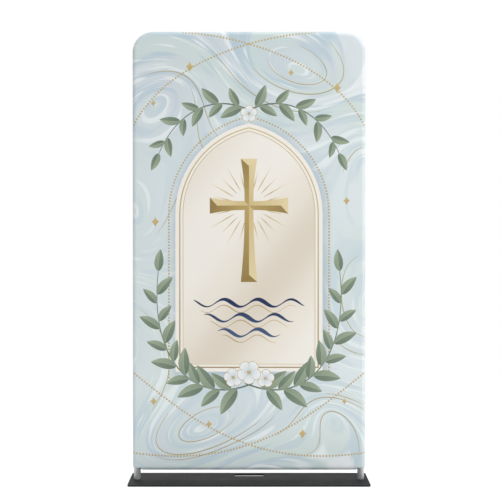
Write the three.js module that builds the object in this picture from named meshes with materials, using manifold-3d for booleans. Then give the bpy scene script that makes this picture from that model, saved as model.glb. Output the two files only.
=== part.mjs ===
// Church banner: a printed stretch-cloth sleeve pulled over a bent tube frame that stands on a
// flat steel base plate. Millimetres, +Z up. The front faces -Y, and the origin is on the floor
// under the middle of the base plate.
import * as THREE from 'three';
import { mergeVertices } from 'three/addons/utils/BufferGeometryUtils.js';
import Module from 'manifold-3d';

const wasm = await Module();
wasm.setup();

// ---------------------------------------------------------------- driving dimensions
// Cloth sleeve, over all.
const SLEEVE_WIDTH = 1219;
const SLEEVE_TOP = 2355;
const HEM_BOTTOM = 57;
const CLOTH_THICKNESS = 1.5;

// Bent frame inside the sleeve.
const TUBE_DIAMETER = 35;
const TUBE_WALL = 1.5;
const BEND_RADIUS = 85; // centre line of the two top bends

// How loosely the cloth sits on the tubes: the seam allowance lifts it at the rim.
const RIM_CLEARANCE = 3.5;
const FACE_CLEARANCE = 2.2;

// The step in the hem that lets each leg out.
const LEG_NOTCH_WIDTH = 46;
const LEG_NOTCH_TOP = 70.5;

// Base plate and the hand-hold cut near its back edge.
const PLATE_WIDTH = 1252;
const PLATE_DEPTH = 300;
const PLATE_THICKNESS = 8;
const PLATE_CORNER = 15;
const PLATE_EDGE_ROUND = 1;
const HOLD_WIDTH = 160;
const HOLD_DEPTH = 45;
const HOLD_CORNER = 10;
const HOLD_TO_BACK_EDGE = 33;

// Small gap that keeps neighbouring pieces apart.
const FIT_GAP = 0.3;

// How finely the round parts are stepped.
const TOP_CORNER_STEPS = 12;
const HEM_CORNER_STEPS = 4;
const RIM_STEPS = 8;
const TUBE_HALF_SIDES = 14;
const BEND_STEPS = 10;
const PLATE_CORNER_STEPS = 6;
const PLATE_EDGE_STEPS = 2;

// ---------------------------------------------------------------- worked-out dimensions
const TUBE_RADIUS = TUBE_DIAMETER / 2;
const HALF_WIDTH = SLEEVE_WIDTH / 2;
const RIM_REACH = TUBE_RADIUS + RIM_CLEARANCE + CLOTH_THICKNESS; // tube centre to the sleeve's edge
const RIM_DEPTH = TUBE_RADIUS + FACE_CLEARANCE + CLOTH_THICKNESS; // tube centre to the sleeve's face
const SEAM_LAND = 2; // flat strip at the rim where the two panels are sewn together
const HEM_CORNER = RIM_REACH + CLOTH_THICKNESS;
const LEG_X = HALF_WIDTH - RIM_REACH;
const TOP_BAR_Z = SLEEVE_TOP - RIM_REACH;
const BOTTOM_BAR_Z = HEM_BOTTOM + RIM_REACH;
const BEND_START_Z = TOP_BAR_Z - BEND_RADIUS;
const BEND_END_X = LEG_X - BEND_RADIUS;

// ---------------------------------------------------------------- materials
function satin(color, roughness, metalness) {
  return new THREE.MeshStandardMaterial({ color, roughness, metalness });
}

const printedCloth = () => satin(0xc6d6dc, 0.85, 0);
const plainCloth = () => satin(0xd3dfe3, 0.88, 0);
const satinAluminium = () => satin(0xb3b5b7, 0.38, 0.9);
const blackPowderCoat = () => satin(0x3f4042, 0.5, 0.3);

// ---------------------------------------------------------------- outlines
// Points on a round corner about (x, y), from one angle to another in quarter turns.
function cornerPoints(x, y, radius, fromQuarter, steps) {
  const points = [];
  for (let i = 0; i <= steps; i += 1) {
    const angle = (fromQuarter + i / steps) * Math.PI / 2;
    points.push(new THREE.Vector2(x + radius * Math.cos(angle), y + radius * Math.sin(angle)));
  }
  return points;
}

// A rectangle with its own corner radius above and below, counter-clockwise.
function roundedOutline({ left, right, bottom, top, lowerRadius, upperRadius, lowerSteps, upperSteps }) {
  return [
    ...cornerPoints(right - upperRadius, top - upperRadius, upperRadius, 0, upperSteps),
    ...cornerPoints(left + upperRadius, top - upperRadius, upperRadius, 1, upperSteps),
    ...cornerPoints(left + lowerRadius, bottom + lowerRadius, lowerRadius, 2, lowerSteps),
    ...cornerPoints(right - lowerRadius, bottom + lowerRadius, lowerRadius, 3, lowerSteps),
  ];
}

function plateOutline(width, depth, corner, centreY) {
  return roundedOutline({
    left: -width / 2,
    right: width / 2,
    bottom: centreY - depth / 2,
    top: centreY + depth / 2,
    lowerRadius: corner,
    upperRadius: corner,
    lowerSteps: PLATE_CORNER_STEPS,
    upperSteps: PLATE_CORNER_STEPS,
  });
}

// ---------------------------------------------------------------- solids
function toSolid(geometry) {
  const bare = geometry.clone();
  bare.deleteAttribute('normal');
  bare.deleteAttribute('uv');
  const merged = mergeVertices(bare, 1e-4);
  const vertProperties = new Float32Array(merged.attributes.position.array);
  const triVerts = new Uint32Array(merged.index.array);
  return new wasm.Manifold(new wasm.Mesh({ numProp: 3, vertProperties, triVerts }));
}

function toGeometry(solid) {
  const mesh = solid.getMesh();
  const geometry = new THREE.BufferGeometry();
  geometry.setAttribute('position', new THREE.BufferAttribute(mesh.vertProperties, 3));
  geometry.setIndex(new THREE.BufferAttribute(mesh.triVerts, 1));
  geometry.computeVertexNormals();
  return geometry;
}

// A plain block between two corners, used as a cutter.
function block(low, high) {
  const geometry = new THREE.BoxGeometry(high[0] - low[0], high[1] - low[1], high[2] - low[2]);
  geometry.translate((low[0] + high[0]) / 2, (low[1] + high[1]) / 2, (low[2] + high[2]) / 2);
  return toSolid(geometry);
}

// The sleeve's outer form as a filled body, shrunk on every side by the inset.
function sleeveForm(inset) {
  const outline = roundedOutline({
    left: -HALF_WIDTH + inset,
    right: HALF_WIDTH - inset,
    bottom: HEM_BOTTOM + inset,
    top: SLEEVE_TOP - inset,
    lowerRadius: HEM_CORNER - inset,
    upperRadius: BEND_RADIUS + RIM_REACH - inset,
    lowerSteps: HEM_CORNER_STEPS,
    upperSteps: TOP_CORNER_STEPS,
  });
  const geometry = new THREE.ExtrudeGeometry(new THREE.Shape(outline), {
    depth: SEAM_LAND,
    bevelThickness: RIM_DEPTH - inset - SEAM_LAND / 2,
    bevelSize: RIM_REACH - inset,
    bevelOffset: inset - RIM_REACH,
    bevelSegments: RIM_STEPS,
  });
  geometry.translate(0, 0, -SEAM_LAND / 2);
  geometry.rotateX(Math.PI / 2);
  return toSolid(geometry);
}

// The hollow sleeve with the corners of its hem cut away for the legs.
function sleeveShell() {
  const shell = sleeveForm(0).subtract(sleeveForm(CLOTH_THICKNESS));
  const spare = RIM_REACH;
  const notchInner = HALF_WIDTH - LEG_NOTCH_WIDTH;
  const below = HEM_BOTTOM - spare;
  const rightNotch = block([notchInner, -spare, below], [HALF_WIDTH + spare, spare, LEG_NOTCH_TOP]);
  const leftNotch = block([-HALF_WIDTH - spare, -spare, below], [-notchInner, spare, LEG_NOTCH_TOP]);
  return shell.subtract(rightNotch).subtract(leftNotch);
}

// One panel is what is left of the shell on its own side of the seam: -1 front, 1 back.
function panel(name, side, material) {
  const spare = RIM_REACH;
  const keepFrom = side * FIT_GAP / 2;
  const keepTo = side * spare;
  const low = [-HALF_WIDTH - spare, Math.min(keepFrom, keepTo), HEM_BOTTOM - spare];
  const high = [HALF_WIDTH + spare, Math.max(keepFrom, keepTo), SLEEVE_TOP + spare];
  const mesh = new THREE.Mesh(toGeometry(sleeveShell().intersect(block(low, high))), material);
  mesh.name = name;
  return mesh;
}

// ---------------------------------------------------------------- tubes
function tubeSection() {
  const section = new THREE.Shape();
  section.absarc(0, 0, TUBE_RADIUS, 0, 2 * Math.PI, false);
  const bore = new THREE.Path();
  bore.absarc(0, 0, TUBE_RADIUS - TUBE_WALL, 0, 2 * Math.PI, true);
  section.holes.push(bore);
  return section;
}

// A straight tube that runs along +Z from its own origin.
function straightTube(name, length) {
  const geometry = new THREE.ExtrudeGeometry(tubeSection(), {
    depth: length,
    bevelEnabled: false,
    curveSegments: TUBE_HALF_SIDES,
  });
  const mesh = new THREE.Mesh(geometry, satinAluminium());
  mesh.name = name;
  return mesh;
}

// The centre line of a top bend: a quarter circle from the upright up and in to the top bar.
class BendLine extends THREE.Curve {
  constructor(side) {
    super();
    this.side = side;
    this.trim = FIT_GAP / 2 / BEND_RADIUS;
  }

  getPoint(t, target = new THREE.Vector3()) {
    const angle = this.trim + t * (Math.PI / 2 - 2 * this.trim);
    const x = this.side * (BEND_END_X + BEND_RADIUS * Math.cos(angle));
    return target.set(x, 0, BEND_START_Z + BEND_RADIUS * Math.sin(angle));
  }
}

function cornerTube(name, side) {
  const geometry = new THREE.ExtrudeGeometry(tubeSection(), {
    steps: BEND_STEPS,
    curveSegments: TUBE_HALF_SIDES,
    extrudePath: new BendLine(side),
  });
  const mesh = new THREE.Mesh(geometry, satinAluminium());
  mesh.name = name;
  return mesh;
}

function upright(name, side) {
  const foot = PLATE_THICKNESS + FIT_GAP;
  const mesh = straightTube(name, BEND_START_Z - FIT_GAP / 2 - foot);
  mesh.position.set(side * LEG_X, 0, foot);
  return mesh;
}

// A level tube centred on the frame, between two ends at plus and minus reach.
function levelBar(name, reach, height) {
  const mesh = straightTube(name, 2 * reach);
  mesh.rotation.y = Math.PI / 2;
  mesh.position.set(-reach, 0, height);
  return mesh;
}

// ---------------------------------------------------------------- sub-assemblies
function makeSleeve() {
  const sleeve = new THREE.Group();
  sleeve.add(panel('front_panel', -1, printedCloth()));
  sleeve.add(panel('back_panel', 1, plainCloth()));
  return sleeve;
}

function makeFrame() {
  const frame = new THREE.Group();
  for (const [word, side] of [['left', -1], ['right', 1]]) {
    frame.add(upright(`${word}_upright`, side));
    frame.add(cornerTube(`${word}_corner`, side));
  }
  frame.add(levelBar('top_bar', BEND_END_X - FIT_GAP / 2, TOP_BAR_Z));
  frame.add(levelBar('bottom_bar', LEG_X - TUBE_RADIUS - FIT_GAP, BOTTOM_BAR_Z));
  return frame;
}

function makeBasePlate() {
  const outline = new THREE.Shape(plateOutline(PLATE_WIDTH, PLATE_DEPTH, PLATE_CORNER, 0));
  const holdCentreY = PLATE_DEPTH / 2 - HOLD_TO_BACK_EDGE - HOLD_DEPTH / 2;
  const holdPoints = plateOutline(HOLD_WIDTH, HOLD_DEPTH, HOLD_CORNER, holdCentreY);
  outline.holes.push(new THREE.Path(holdPoints.reverse()));
  const geometry = new THREE.ExtrudeGeometry(outline, {
    depth: PLATE_THICKNESS - 2 * PLATE_EDGE_ROUND,
    bevelThickness: PLATE_EDGE_ROUND,
    bevelSize: PLATE_EDGE_ROUND,
    bevelOffset: -PLATE_EDGE_ROUND,
    bevelSegments: PLATE_EDGE_STEPS,
  });
  geometry.translate(0, 0, PLATE_EDGE_ROUND);
  const mesh = new THREE.Mesh(geometry, blackPowderCoat());
  mesh.name = 'base_plate';
  return mesh;
}

const banner = new THREE.Group();
banner.add(makeSleeve());
banner.add(makeFrame());
banner.add(makeBasePlate());

export default banner;
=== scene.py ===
"""Church banner on a tube frame: the looks of the cloth, its print, the tubes and the base plate.

Every size is in metres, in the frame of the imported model: +Z up, the printed front towards -Y, and
the origin on the floor under the middle of the base plate.
"""

import logging
import math
from dataclasses import dataclass, field
from enum import Enum
from functools import cache, partial
from typing import Protocol, Sequence

import bmesh
import bpy
from bpy.types import Material, Mesh, Node, NodeSocket, NodeTree, Object
from mathutils import Matrix, Vector
from mathutils.geometry import delaunay_2d_cdt


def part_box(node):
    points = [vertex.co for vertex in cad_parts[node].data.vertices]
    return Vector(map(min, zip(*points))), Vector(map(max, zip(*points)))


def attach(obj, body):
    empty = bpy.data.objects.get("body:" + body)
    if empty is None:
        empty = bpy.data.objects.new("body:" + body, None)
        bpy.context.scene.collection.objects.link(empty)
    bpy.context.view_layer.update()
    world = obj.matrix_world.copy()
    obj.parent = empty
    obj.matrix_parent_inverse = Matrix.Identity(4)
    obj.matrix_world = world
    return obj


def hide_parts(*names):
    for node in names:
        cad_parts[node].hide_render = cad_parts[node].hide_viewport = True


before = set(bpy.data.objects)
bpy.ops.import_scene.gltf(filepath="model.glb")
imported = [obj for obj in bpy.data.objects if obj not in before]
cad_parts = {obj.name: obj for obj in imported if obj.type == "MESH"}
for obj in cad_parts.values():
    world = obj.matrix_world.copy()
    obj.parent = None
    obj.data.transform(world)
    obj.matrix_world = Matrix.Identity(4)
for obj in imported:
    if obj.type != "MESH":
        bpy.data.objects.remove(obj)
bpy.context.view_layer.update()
BODY = "root"
FLAT_MAP = "FlatCloth"
BAKE_MAP = "OFBake"
INK_LAYER = "print_ink"
WEAR_LAYER = "edge_wear"
SWIRL_TIP = 0.012

logging.basicConfig(level=logging.INFO, format="%(name)s: %(message)s")
log = logging.getLogger("church_banner")

Point = tuple[float, float]
Knots = tuple[Point, Point, Point, Point]
Colour = tuple[float, float, float]
Ink = tuple[float, float, float, float]


# ---------------- colours
def print_colour(red: int, green: int, blue: int) -> Colour:
    """Turns a printer's 0 to 255 colour into the linear light that shaders use.

    Args:
        red: Red, 0 to 255.
        green: Green, 0 to 255.
        blue: Blue, 0 to 255.

    Returns:
        The three linear channels.
    """
    linear = []
    for channel in (red, green, blue):
        share = channel / 255
        low = share / 12.92
        high = ((share + 0.055) / 1.055) ** 2.4
        linear.append(low if share <= 0.04045 else high)
    return (linear[0], linear[1], linear[2])


def between(first: Colour, second: Colour, share: float) -> Colour:
    """Mixes two colours.

    Args:
        first: The colour at a share of 0.
        second: The colour at a share of 1.
        share: How much of the second goes in.

    Returns:
        The mixed colour.
    """
    share = min(1.0, max(0.0, share))
    mixed = [a + (b - a) * share for a, b in zip(first, second)]
    return (mixed[0], mixed[1], mixed[2])


def ease(value: float, low: float, high: float) -> float:
    """Runs smoothly from 0 at low to 1 at high."""
    share = min(1.0, max(0.0, (value - low) / (high - low)))
    return share * share * (3 - 2 * share)


MIST = print_colour(204, 216, 222)
MIST_DEEP = print_colour(184, 204, 216)
MIST_PALE = print_colour(220, 228, 232)
MINT = print_colour(208, 222, 219)
LILAC = print_colour(209, 212, 222)
HAZE = print_colour(233, 243, 242)
FOAM = print_colour(238, 243, 245)
CREAM_PALE = print_colour(247, 243, 235)
CREAM = print_colour(240, 233, 221)
CREAM_SHADE = print_colour(222, 210, 193)
GOLD_PALE = print_colour(233, 216, 172)
GOLD_LIGHT = print_colour(214, 192, 138)
GOLD = print_colour(190, 166, 108)
GOLD_DEEP = print_colour(154, 130, 76)
GOLD_DULL = print_colour(172, 156, 106)
NAVY = print_colour(38, 54, 92)
NAVY_SOFT = print_colour(92, 116, 152)
SAGE_PALE = print_colour(166, 180, 156)
SAGE = print_colour(136, 152, 131)
SAGE_DEEP = print_colour(108, 126, 109)
STEM = print_colour(104, 118, 106)
SLATE = print_colour(150, 168, 184)
PETAL = print_colour(248, 249, 248)
PETAL_SHADE = print_colour(212, 222, 228)


# ---------------- node helpers
class Graph:
    """Adds nodes to one tree, so that a pattern reads like a formula."""

    def __init__(self, tree: NodeTree) -> None:
        """Keeps the tree that the nodes go into."""
        self.tree = tree

    def add(self, kind: str, **settings: object) -> Node:
        """Adds a node and sets its options.

        Args:
            kind: The node's bl_idname.
            **settings: Its properties by name.

        Returns:
            The new node.
        """
        node = self.tree.nodes.new(kind)
        for name, value in settings.items():
            setattr(node, name, value)
        return node

    def feed(self, socket: NodeSocket, value: object) -> None:
        """Links a socket to another, or sets its own value.

        Args:
            socket: The input that is fed.
            value: Another socket, a colour or a number.
        """
        if isinstance(value, NodeSocket):
            self.tree.links.new(value, socket)
        elif isinstance(value, tuple) and len(value) == 3 and socket.type == "RGBA":
            socket.default_value = (*value, 1.0)
        else:
            socket.default_value = value

    def math(self, operation: str, *values: object) -> NodeSocket:
        """Adds a Math node.

        Args:
            operation: What it works out.
            *values: Its inputs in order.

        Returns:
            The node's output.
        """
        node = self.add("ShaderNodeMath", operation=operation)
        for socket, value in zip(node.inputs, values):
            self.feed(socket, value)
        return node.outputs[0]

    def smooth(self, value: object, low: float, high: float) -> NodeSocket:
        """Adds a smooth step from 0 to 1.

        Args:
            value: What is looked at.
            low: Where the step begins.
            high: Where it is done.

        Returns:
            The step's output.
        """
        node = self.add("ShaderNodeMapRange", interpolation_type="SMOOTHSTEP")
        for name, given in (("Value", value), ("From Min", low), ("From Max", high)):
            self.feed(node.inputs[name], given)
        return node.outputs["Result"]

    def noise(self, vector: object, scale: float, detail: float = 2.0) -> NodeSocket:
        """Adds a 3-D noise.

        Args:
            vector: Where it is looked up.
            scale: How fine it is.
            detail: How many finer layers it has.

        Returns:
            Its value.
        """
        node = self.add("ShaderNodeTexNoise", noise_dimensions="3D")
        self.feed(node.inputs["Vector"], vector)
        node.inputs["Scale"].default_value = scale
        node.inputs["Detail"].default_value = detail
        return node.outputs[0]

    def object_place(self) -> NodeSocket:
        """Returns the place on a piece, in its own metres."""
        return self.add("ShaderNodeTexCoord").outputs["Object"]

    def flat_place(self) -> NodeSocket:
        """Returns the place on the flat cloth."""
        return self.add("ShaderNodeUVMap", uv_map=FLAT_MAP).outputs[0]

    def split(self, vector: object) -> list[NodeSocket]:
        """Takes a vector apart.

        Args:
            vector: The vector.

        Returns:
            Its X, Y and Z.
        """
        node = self.add("ShaderNodeSeparateXYZ")
        self.feed(node.inputs[0], vector)
        return list(node.outputs)

    def vector(self, x: object, y: object, z: object) -> NodeSocket:
        """Puts three values together.

        Args:
            x: The first.
            y: The second.
            z: The third.

        Returns:
            The vector.
        """
        node = self.add("ShaderNodeCombineXYZ")
        for socket, value in zip(node.inputs, (x, y, z)):
            self.feed(socket, value)
        return node.outputs[0]

    def mix(self, share: object, first: object, second: object) -> NodeSocket:
        """Mixes two colours.

        Args:
            share: How much of the second goes in.
            first: The first colour.
            second: The second colour.

        Returns:
            The mixed colour.
        """
        # A Mix node keeps its colour sockets behind its number and vector ones.
        node = self.add("ShaderNodeMix", data_type="RGBA")
        self.feed(node.inputs[0], share)
        self.feed(node.inputs[6], first)
        self.feed(node.inputs[7], second)
        return node.outputs[2]

    def use(self, group: NodeTree, **values: object) -> Node:
        """Adds a node group.

        Args:
            group: The group's tree.
            **values: Its inputs, with an underscore for each space in a name.

        Returns:
            The group's node.
        """
        node = self.add("ShaderNodeGroup", node_tree=group)
        for name, value in values.items():
            self.feed(node.inputs[name.replace("_", " ")], value)
        return node


class GroupMaker:
    """Builds each shared node group once and hands out the same one afterwards."""

    courses_to_wales: float = 0.8
    slant_share: float = 0.5
    knit_height: float = 0.66
    wave_stretch: float = 1.3

    def start(self, name: str, inputs: dict[str, float], output: str) -> tuple[Graph, list, object]:
        """Makes an empty group with a Vector input, more inputs, and one value output.

        Args:
            name: The group's name.
            inputs: Its float inputs with their defaults.
            output: The name of its output.

        Returns:
            The graph, its input sockets in order with Vector first, and the output's socket.
        """
        tree = bpy.data.node_groups.new(name, "ShaderNodeTree")
        tree.interface.new_socket("Vector", in_out="INPUT", socket_type="NodeSocketVector")
        for label, default in inputs.items():
            made = tree.interface.new_socket(label, in_out="INPUT", socket_type="NodeSocketFloat")
            made.default_value = default
        tree.interface.new_socket(output, in_out="OUTPUT", socket_type="NodeSocketFloat")
        graph = Graph(tree)
        source = graph.add("NodeGroupInput")
        sink = graph.add("NodeGroupOutput")
        return graph, list(source.outputs), sink.inputs[0]

    @cache
    def knit(self) -> NodeTree:
        """Makes the warp-knit relief: upright wales of small slanted stitches.

        Returns:
            The group.
        """
        graph, (vector, pitch, *_), out = self.start("Knit relief", {"Pitch": 0.002}, "Height")
        across, up, _ = graph.split(vector)
        turn = graph.math("DIVIDE", 2 * math.pi, pitch)
        wale = graph.math("SINE", graph.math("MULTIPLY", across, turn))
        lean = graph.math("ABSOLUTE", wale)
        course = graph.math("MULTIPLY_ADD", graph.math("MULTIPLY", up, self.courses_to_wales), turn, lean)
        stitch = graph.math("SINE", course)
        both = graph.math("MULTIPLY_ADD", stitch, self.slant_share, lean)
        graph.feed(out, graph.math("MULTIPLY", both, self.knit_height))
        return graph.tree

    @cache
    def tension(self) -> NodeTree:
        """Makes the faint long waves of cloth under tension.

        Returns:
            The group.
        """
        graph, (vector, across, *_), out = self.start("Tension waves", {"Across": 5.0}, "Height")
        x, y, z = graph.split(vector)
        wide = graph.math("MULTIPLY", x, across)
        stretched = graph.vector(wide, y, graph.math("MULTIPLY", z, self.wave_stretch))
        graph.feed(out, graph.noise(stretched, 1.0, 1.0))
        return graph.tree

    @cache
    def grain(self) -> NodeTree:
        """Makes a fine even grain, as on powder coat or drawn metal.

        Returns:
            The group.
        """
        inputs = {"Size": 0.001, "Stretch": 1.0}
        graph, (vector, size, stretch, *_), out = self.start("Fine grain", inputs, "Height")
        x, y, z = graph.split(vector)
        squeezed = graph.vector(x, y, graph.math("DIVIDE", z, stretch))
        node = graph.add("ShaderNodeTexNoise")
        graph.feed(node.inputs["Vector"], squeezed)
        graph.feed(node.inputs["Scale"], graph.math("DIVIDE", 1.0, size))
        node.inputs["Detail"].default_value = 2.0
        graph.feed(out, node.outputs[0])
        return graph.tree

    @cache
    def streaks(self) -> NodeTree:
        """Makes brush streaks that run along a flow, with (flow, u, v) as Vector.

        Returns:
            The group.
        """
        inputs = {"Across": 6.0, "Along": 1.0, "Place": 0.0}
        graph, (vector, across, along, place, *_), out = self.start("Brush streaks", inputs, "Streak")
        flow, u, v = graph.split(vector)
        spread = graph.vector(
            graph.math("MULTIPLY_ADD", flow, across, place),
            graph.math("MULTIPLY_ADD", u, along, place),
            graph.math("MULTIPLY", v, along),
        )
        graph.feed(out, graph.noise(spread, 1.0, 1.5))
        return graph.tree

    @cache
    def swirl(self) -> NodeTree:
        """Makes one swirl of a flow: a pointed oval hill about its own middle.

        Returns:
            The group.
        """
        inputs = {"Middle U": 0.0, "Middle V": 0.0, "Long": 0.3, "Short": 0.2, "Turn": 0.0, "Strength": 0.1}
        graph, sockets, out = self.start("Swirl", inputs, "Flow")
        vector, mid_u, mid_v, long, short, turn, strength = sockets[:7]
        u, v, _ = graph.split(vector)
        du = graph.math("SUBTRACT", u, mid_u)
        dv = graph.math("SUBTRACT", v, mid_v)
        cosine = graph.math("COSINE", turn)
        sine = graph.math("SINE", turn)
        along = graph.math("MULTIPLY_ADD", du, cosine, graph.math("MULTIPLY", dv, sine))
        behind = graph.math("MULTIPLY", du, sine)
        aside = graph.math("SUBTRACT", graph.math("MULTIPLY", dv, cosine), behind)
        along = graph.math("DIVIDE", along, long)
        aside = graph.math("DIVIDE", aside, short)
        square = graph.math("MULTIPLY_ADD", along, along, graph.math("MULTIPLY", aside, aside))
        far = graph.math("SQRT", graph.math("ADD", square, SWIRL_TIP))
        hill = graph.math("EXPONENT", graph.math("MULTIPLY", far, -1.0))
        graph.feed(out, graph.math("MULTIPLY", hill, strength))
        return graph.tree


GROUPS = GroupMaker()


def new_material(name: str) -> tuple[Material, Graph, Node]:
    """Makes an empty material with its shader and output joined.

    Args:
        name: The material's name.

    Returns:
        The material, its graph and its Principled shader.
    """
    material = bpy.data.materials.new(name)
    material.use_nodes = True
    material.node_tree.nodes.clear()
    graph = Graph(material.node_tree)
    shader = graph.add("ShaderNodeBsdfPrincipled")
    output = graph.add("ShaderNodeOutputMaterial")
    graph.feed(output.inputs["Surface"], shader.outputs[0])
    return material, graph, shader


def bump(graph: Graph, height: object, strength: float, depth: float, below: object = None) -> object:
    """Adds a Bump node.

    Args:
        graph: Where the node goes.
        height: The height's socket.
        strength: How much of it shows, 0 to 1.
        depth: The relief in metres.
        below: A normal that this relief lies on.

    Returns:
        The normal's socket.
    """
    node = graph.add("ShaderNodeBump")
    node.inputs["Strength"].default_value = strength
    node.inputs["Distance"].default_value = depth
    graph.feed(node.inputs["Height"], height)
    if below is not None:
        graph.feed(node.inputs["Normal"], below)
    return node.outputs[0]


# ---------------- finishes
@dataclass(frozen=True)
class Swirl:
    """One oval swirl of the marbled ground, in flat cloth metres."""

    u: float
    v: float
    long: float
    short: float
    turn: float
    strength: float

    def height(self, u: float, v: float) -> float:
        """Works out what the swirl adds to the flow, as its node group does.

        Args:
            u: Place across the flat cloth.
            v: Place up the flat cloth.

        Returns:
            The hill's height there.
        """
        du = u - self.u
        dv = v - self.v
        along = (du * math.cos(self.turn) + dv * math.sin(self.turn)) / self.long
        aside = (dv * math.cos(self.turn) - du * math.sin(self.turn)) / self.short
        return self.strength * math.exp(-math.sqrt(along**2 + aside**2 + SWIRL_TIP))


@dataclass(frozen=True)
class Marbling:
    """The flow that the ground's brush strokes and its gold hairlines follow."""

    tilt_u: float = 0.10
    tilt_v: float = 0.30
    swirls: tuple[Swirl, ...] = (
        Swirl(0.26, 2.15, 0.42, 0.20, -0.35, 0.42),
        Swirl(-0.48, 1.98, 0.34, 0.20, 0.70, -0.34),
        Swirl(-0.60, 1.40, 0.22, 0.42, 0.20, 0.34),
        Swirl(0.62, 1.62, 0.20, 0.44, 0.15, -0.36),
        Swirl(0.64, 0.92, 0.24, 0.40, -0.25, 0.30),
        Swirl(-0.63, 0.74, 0.22, 0.36, -0.15, -0.30),
        Swirl(-0.26, 0.27, 0.42, 0.19, 0.40, 0.46),
        Swirl(0.44, 0.33, 0.30, 0.22, -0.60, -0.36),
        Swirl(0.05, 0.05, 0.30, 0.16, 0.10, -0.22),
    )

    def level(self, u: float, v: float) -> float:
        """Returns the flow's value at a place."""
        return self.tilt_u * u + self.tilt_v * v + sum(s.height(u, v) for s in self.swirls)

    def trace(self, start: Point, length: float, step: float = 0.006) -> list[Point]:
        """Follows the flow's level line.

        Args:
            start: Where the line begins.
            length: How far it runs, backwards if negative.
            step: The distance between its points.

        Returns:
            The line's points.
        """
        reach = 0.001
        points = [start]
        way = math.copysign(1.0, length)
        for _ in range(int(abs(length) / step)):
            u, v = points[-1]
            slope_u = self.level(u + reach, v) - self.level(u - reach, v)
            slope_v = self.level(u, v + reach) - self.level(u, v - reach)
            steep = math.hypot(slope_u, slope_v)
            if steep < 1e-7:
                break
            points.append((u + way * step * slope_v / steep, v - way * step * slope_u / steep))
        return points


@dataclass(frozen=True)
class BrushLayer:
    """One layer of brush strokes: its scale, its own place, where it shows and its ink."""

    across: float
    along: float
    place: float
    low: float
    high: float
    share: float
    ink: Colour


@dataclass(frozen=True)
class KnitCloth:
    """Stretch knit, shared by both panels."""

    knit_pitch: float = 0.0022
    knit_depth: float = 0.00018
    knit_strength: float = 0.4
    wave_depth: float = 0.004
    wave_strength: float = 0.35
    valley_shade: float = 0.965
    stitch_light: float = 0.04
    stitch_gloss: float = 0.06
    roughness: float = 0.81
    sheen: float = 0.12
    sheen_roughness: float = 0.5
    specular: float = 0.25

    def relief(self, graph: Graph, flat: object) -> object:
        """Lays the knit on faint tension waves.

        Args:
            graph: Where the nodes go.
            flat: The place on the flat cloth.

        Returns:
            The normal's socket.
        """
        place = graph.object_place()
        waves = graph.use(GROUPS.tension(), Vector=place).outputs[0]
        normal = bump(graph, waves, self.wave_strength, self.wave_depth)
        knit = graph.use(GROUPS.knit(), Vector=flat, Pitch=self.knit_pitch).outputs[0]
        return bump(graph, knit, self.knit_strength, self.knit_depth, normal)

    def dress(self, graph: Graph, shader: Node, colour: object, flat: object) -> None:
        """Sets the shader's cloth finish, with painted shade in the knit's valleys and painted light on its
        stitch tops.

        Args:
            graph: Where the nodes go.
            shader: The shader.
            colour: The cloth's colour.
            flat: The place on the flat cloth.
        """
        knit = graph.use(GROUPS.knit(), Vector=flat, Pitch=self.knit_pitch).outputs[0]
        # Painted shade and light: the base colour is darkened where the knit relief is low and lightened
        # where it is high.
        shade = graph.math("MULTIPLY_ADD", knit, self.stitch_light, self.valley_shade)
        scaled = graph.add("ShaderNodeVectorMath", operation="SCALE")
        graph.feed(scaled.inputs[0], colour)
        graph.feed(scaled.inputs["Scale"], shade)
        graph.feed(shader.inputs["Base Color"], scaled.outputs[0])
        rough = graph.math("MULTIPLY_ADD", knit, -self.stitch_gloss, self.roughness)
        graph.feed(shader.inputs["Roughness"], rough)
        graph.feed(shader.inputs["Normal"], self.relief(graph, flat))
        shader.inputs["Sheen Weight"].default_value = self.sheen
        shader.inputs["Sheen Roughness"].default_value = self.sheen_roughness
        shader.inputs["Specular IOR Level"].default_value = self.specular


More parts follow.
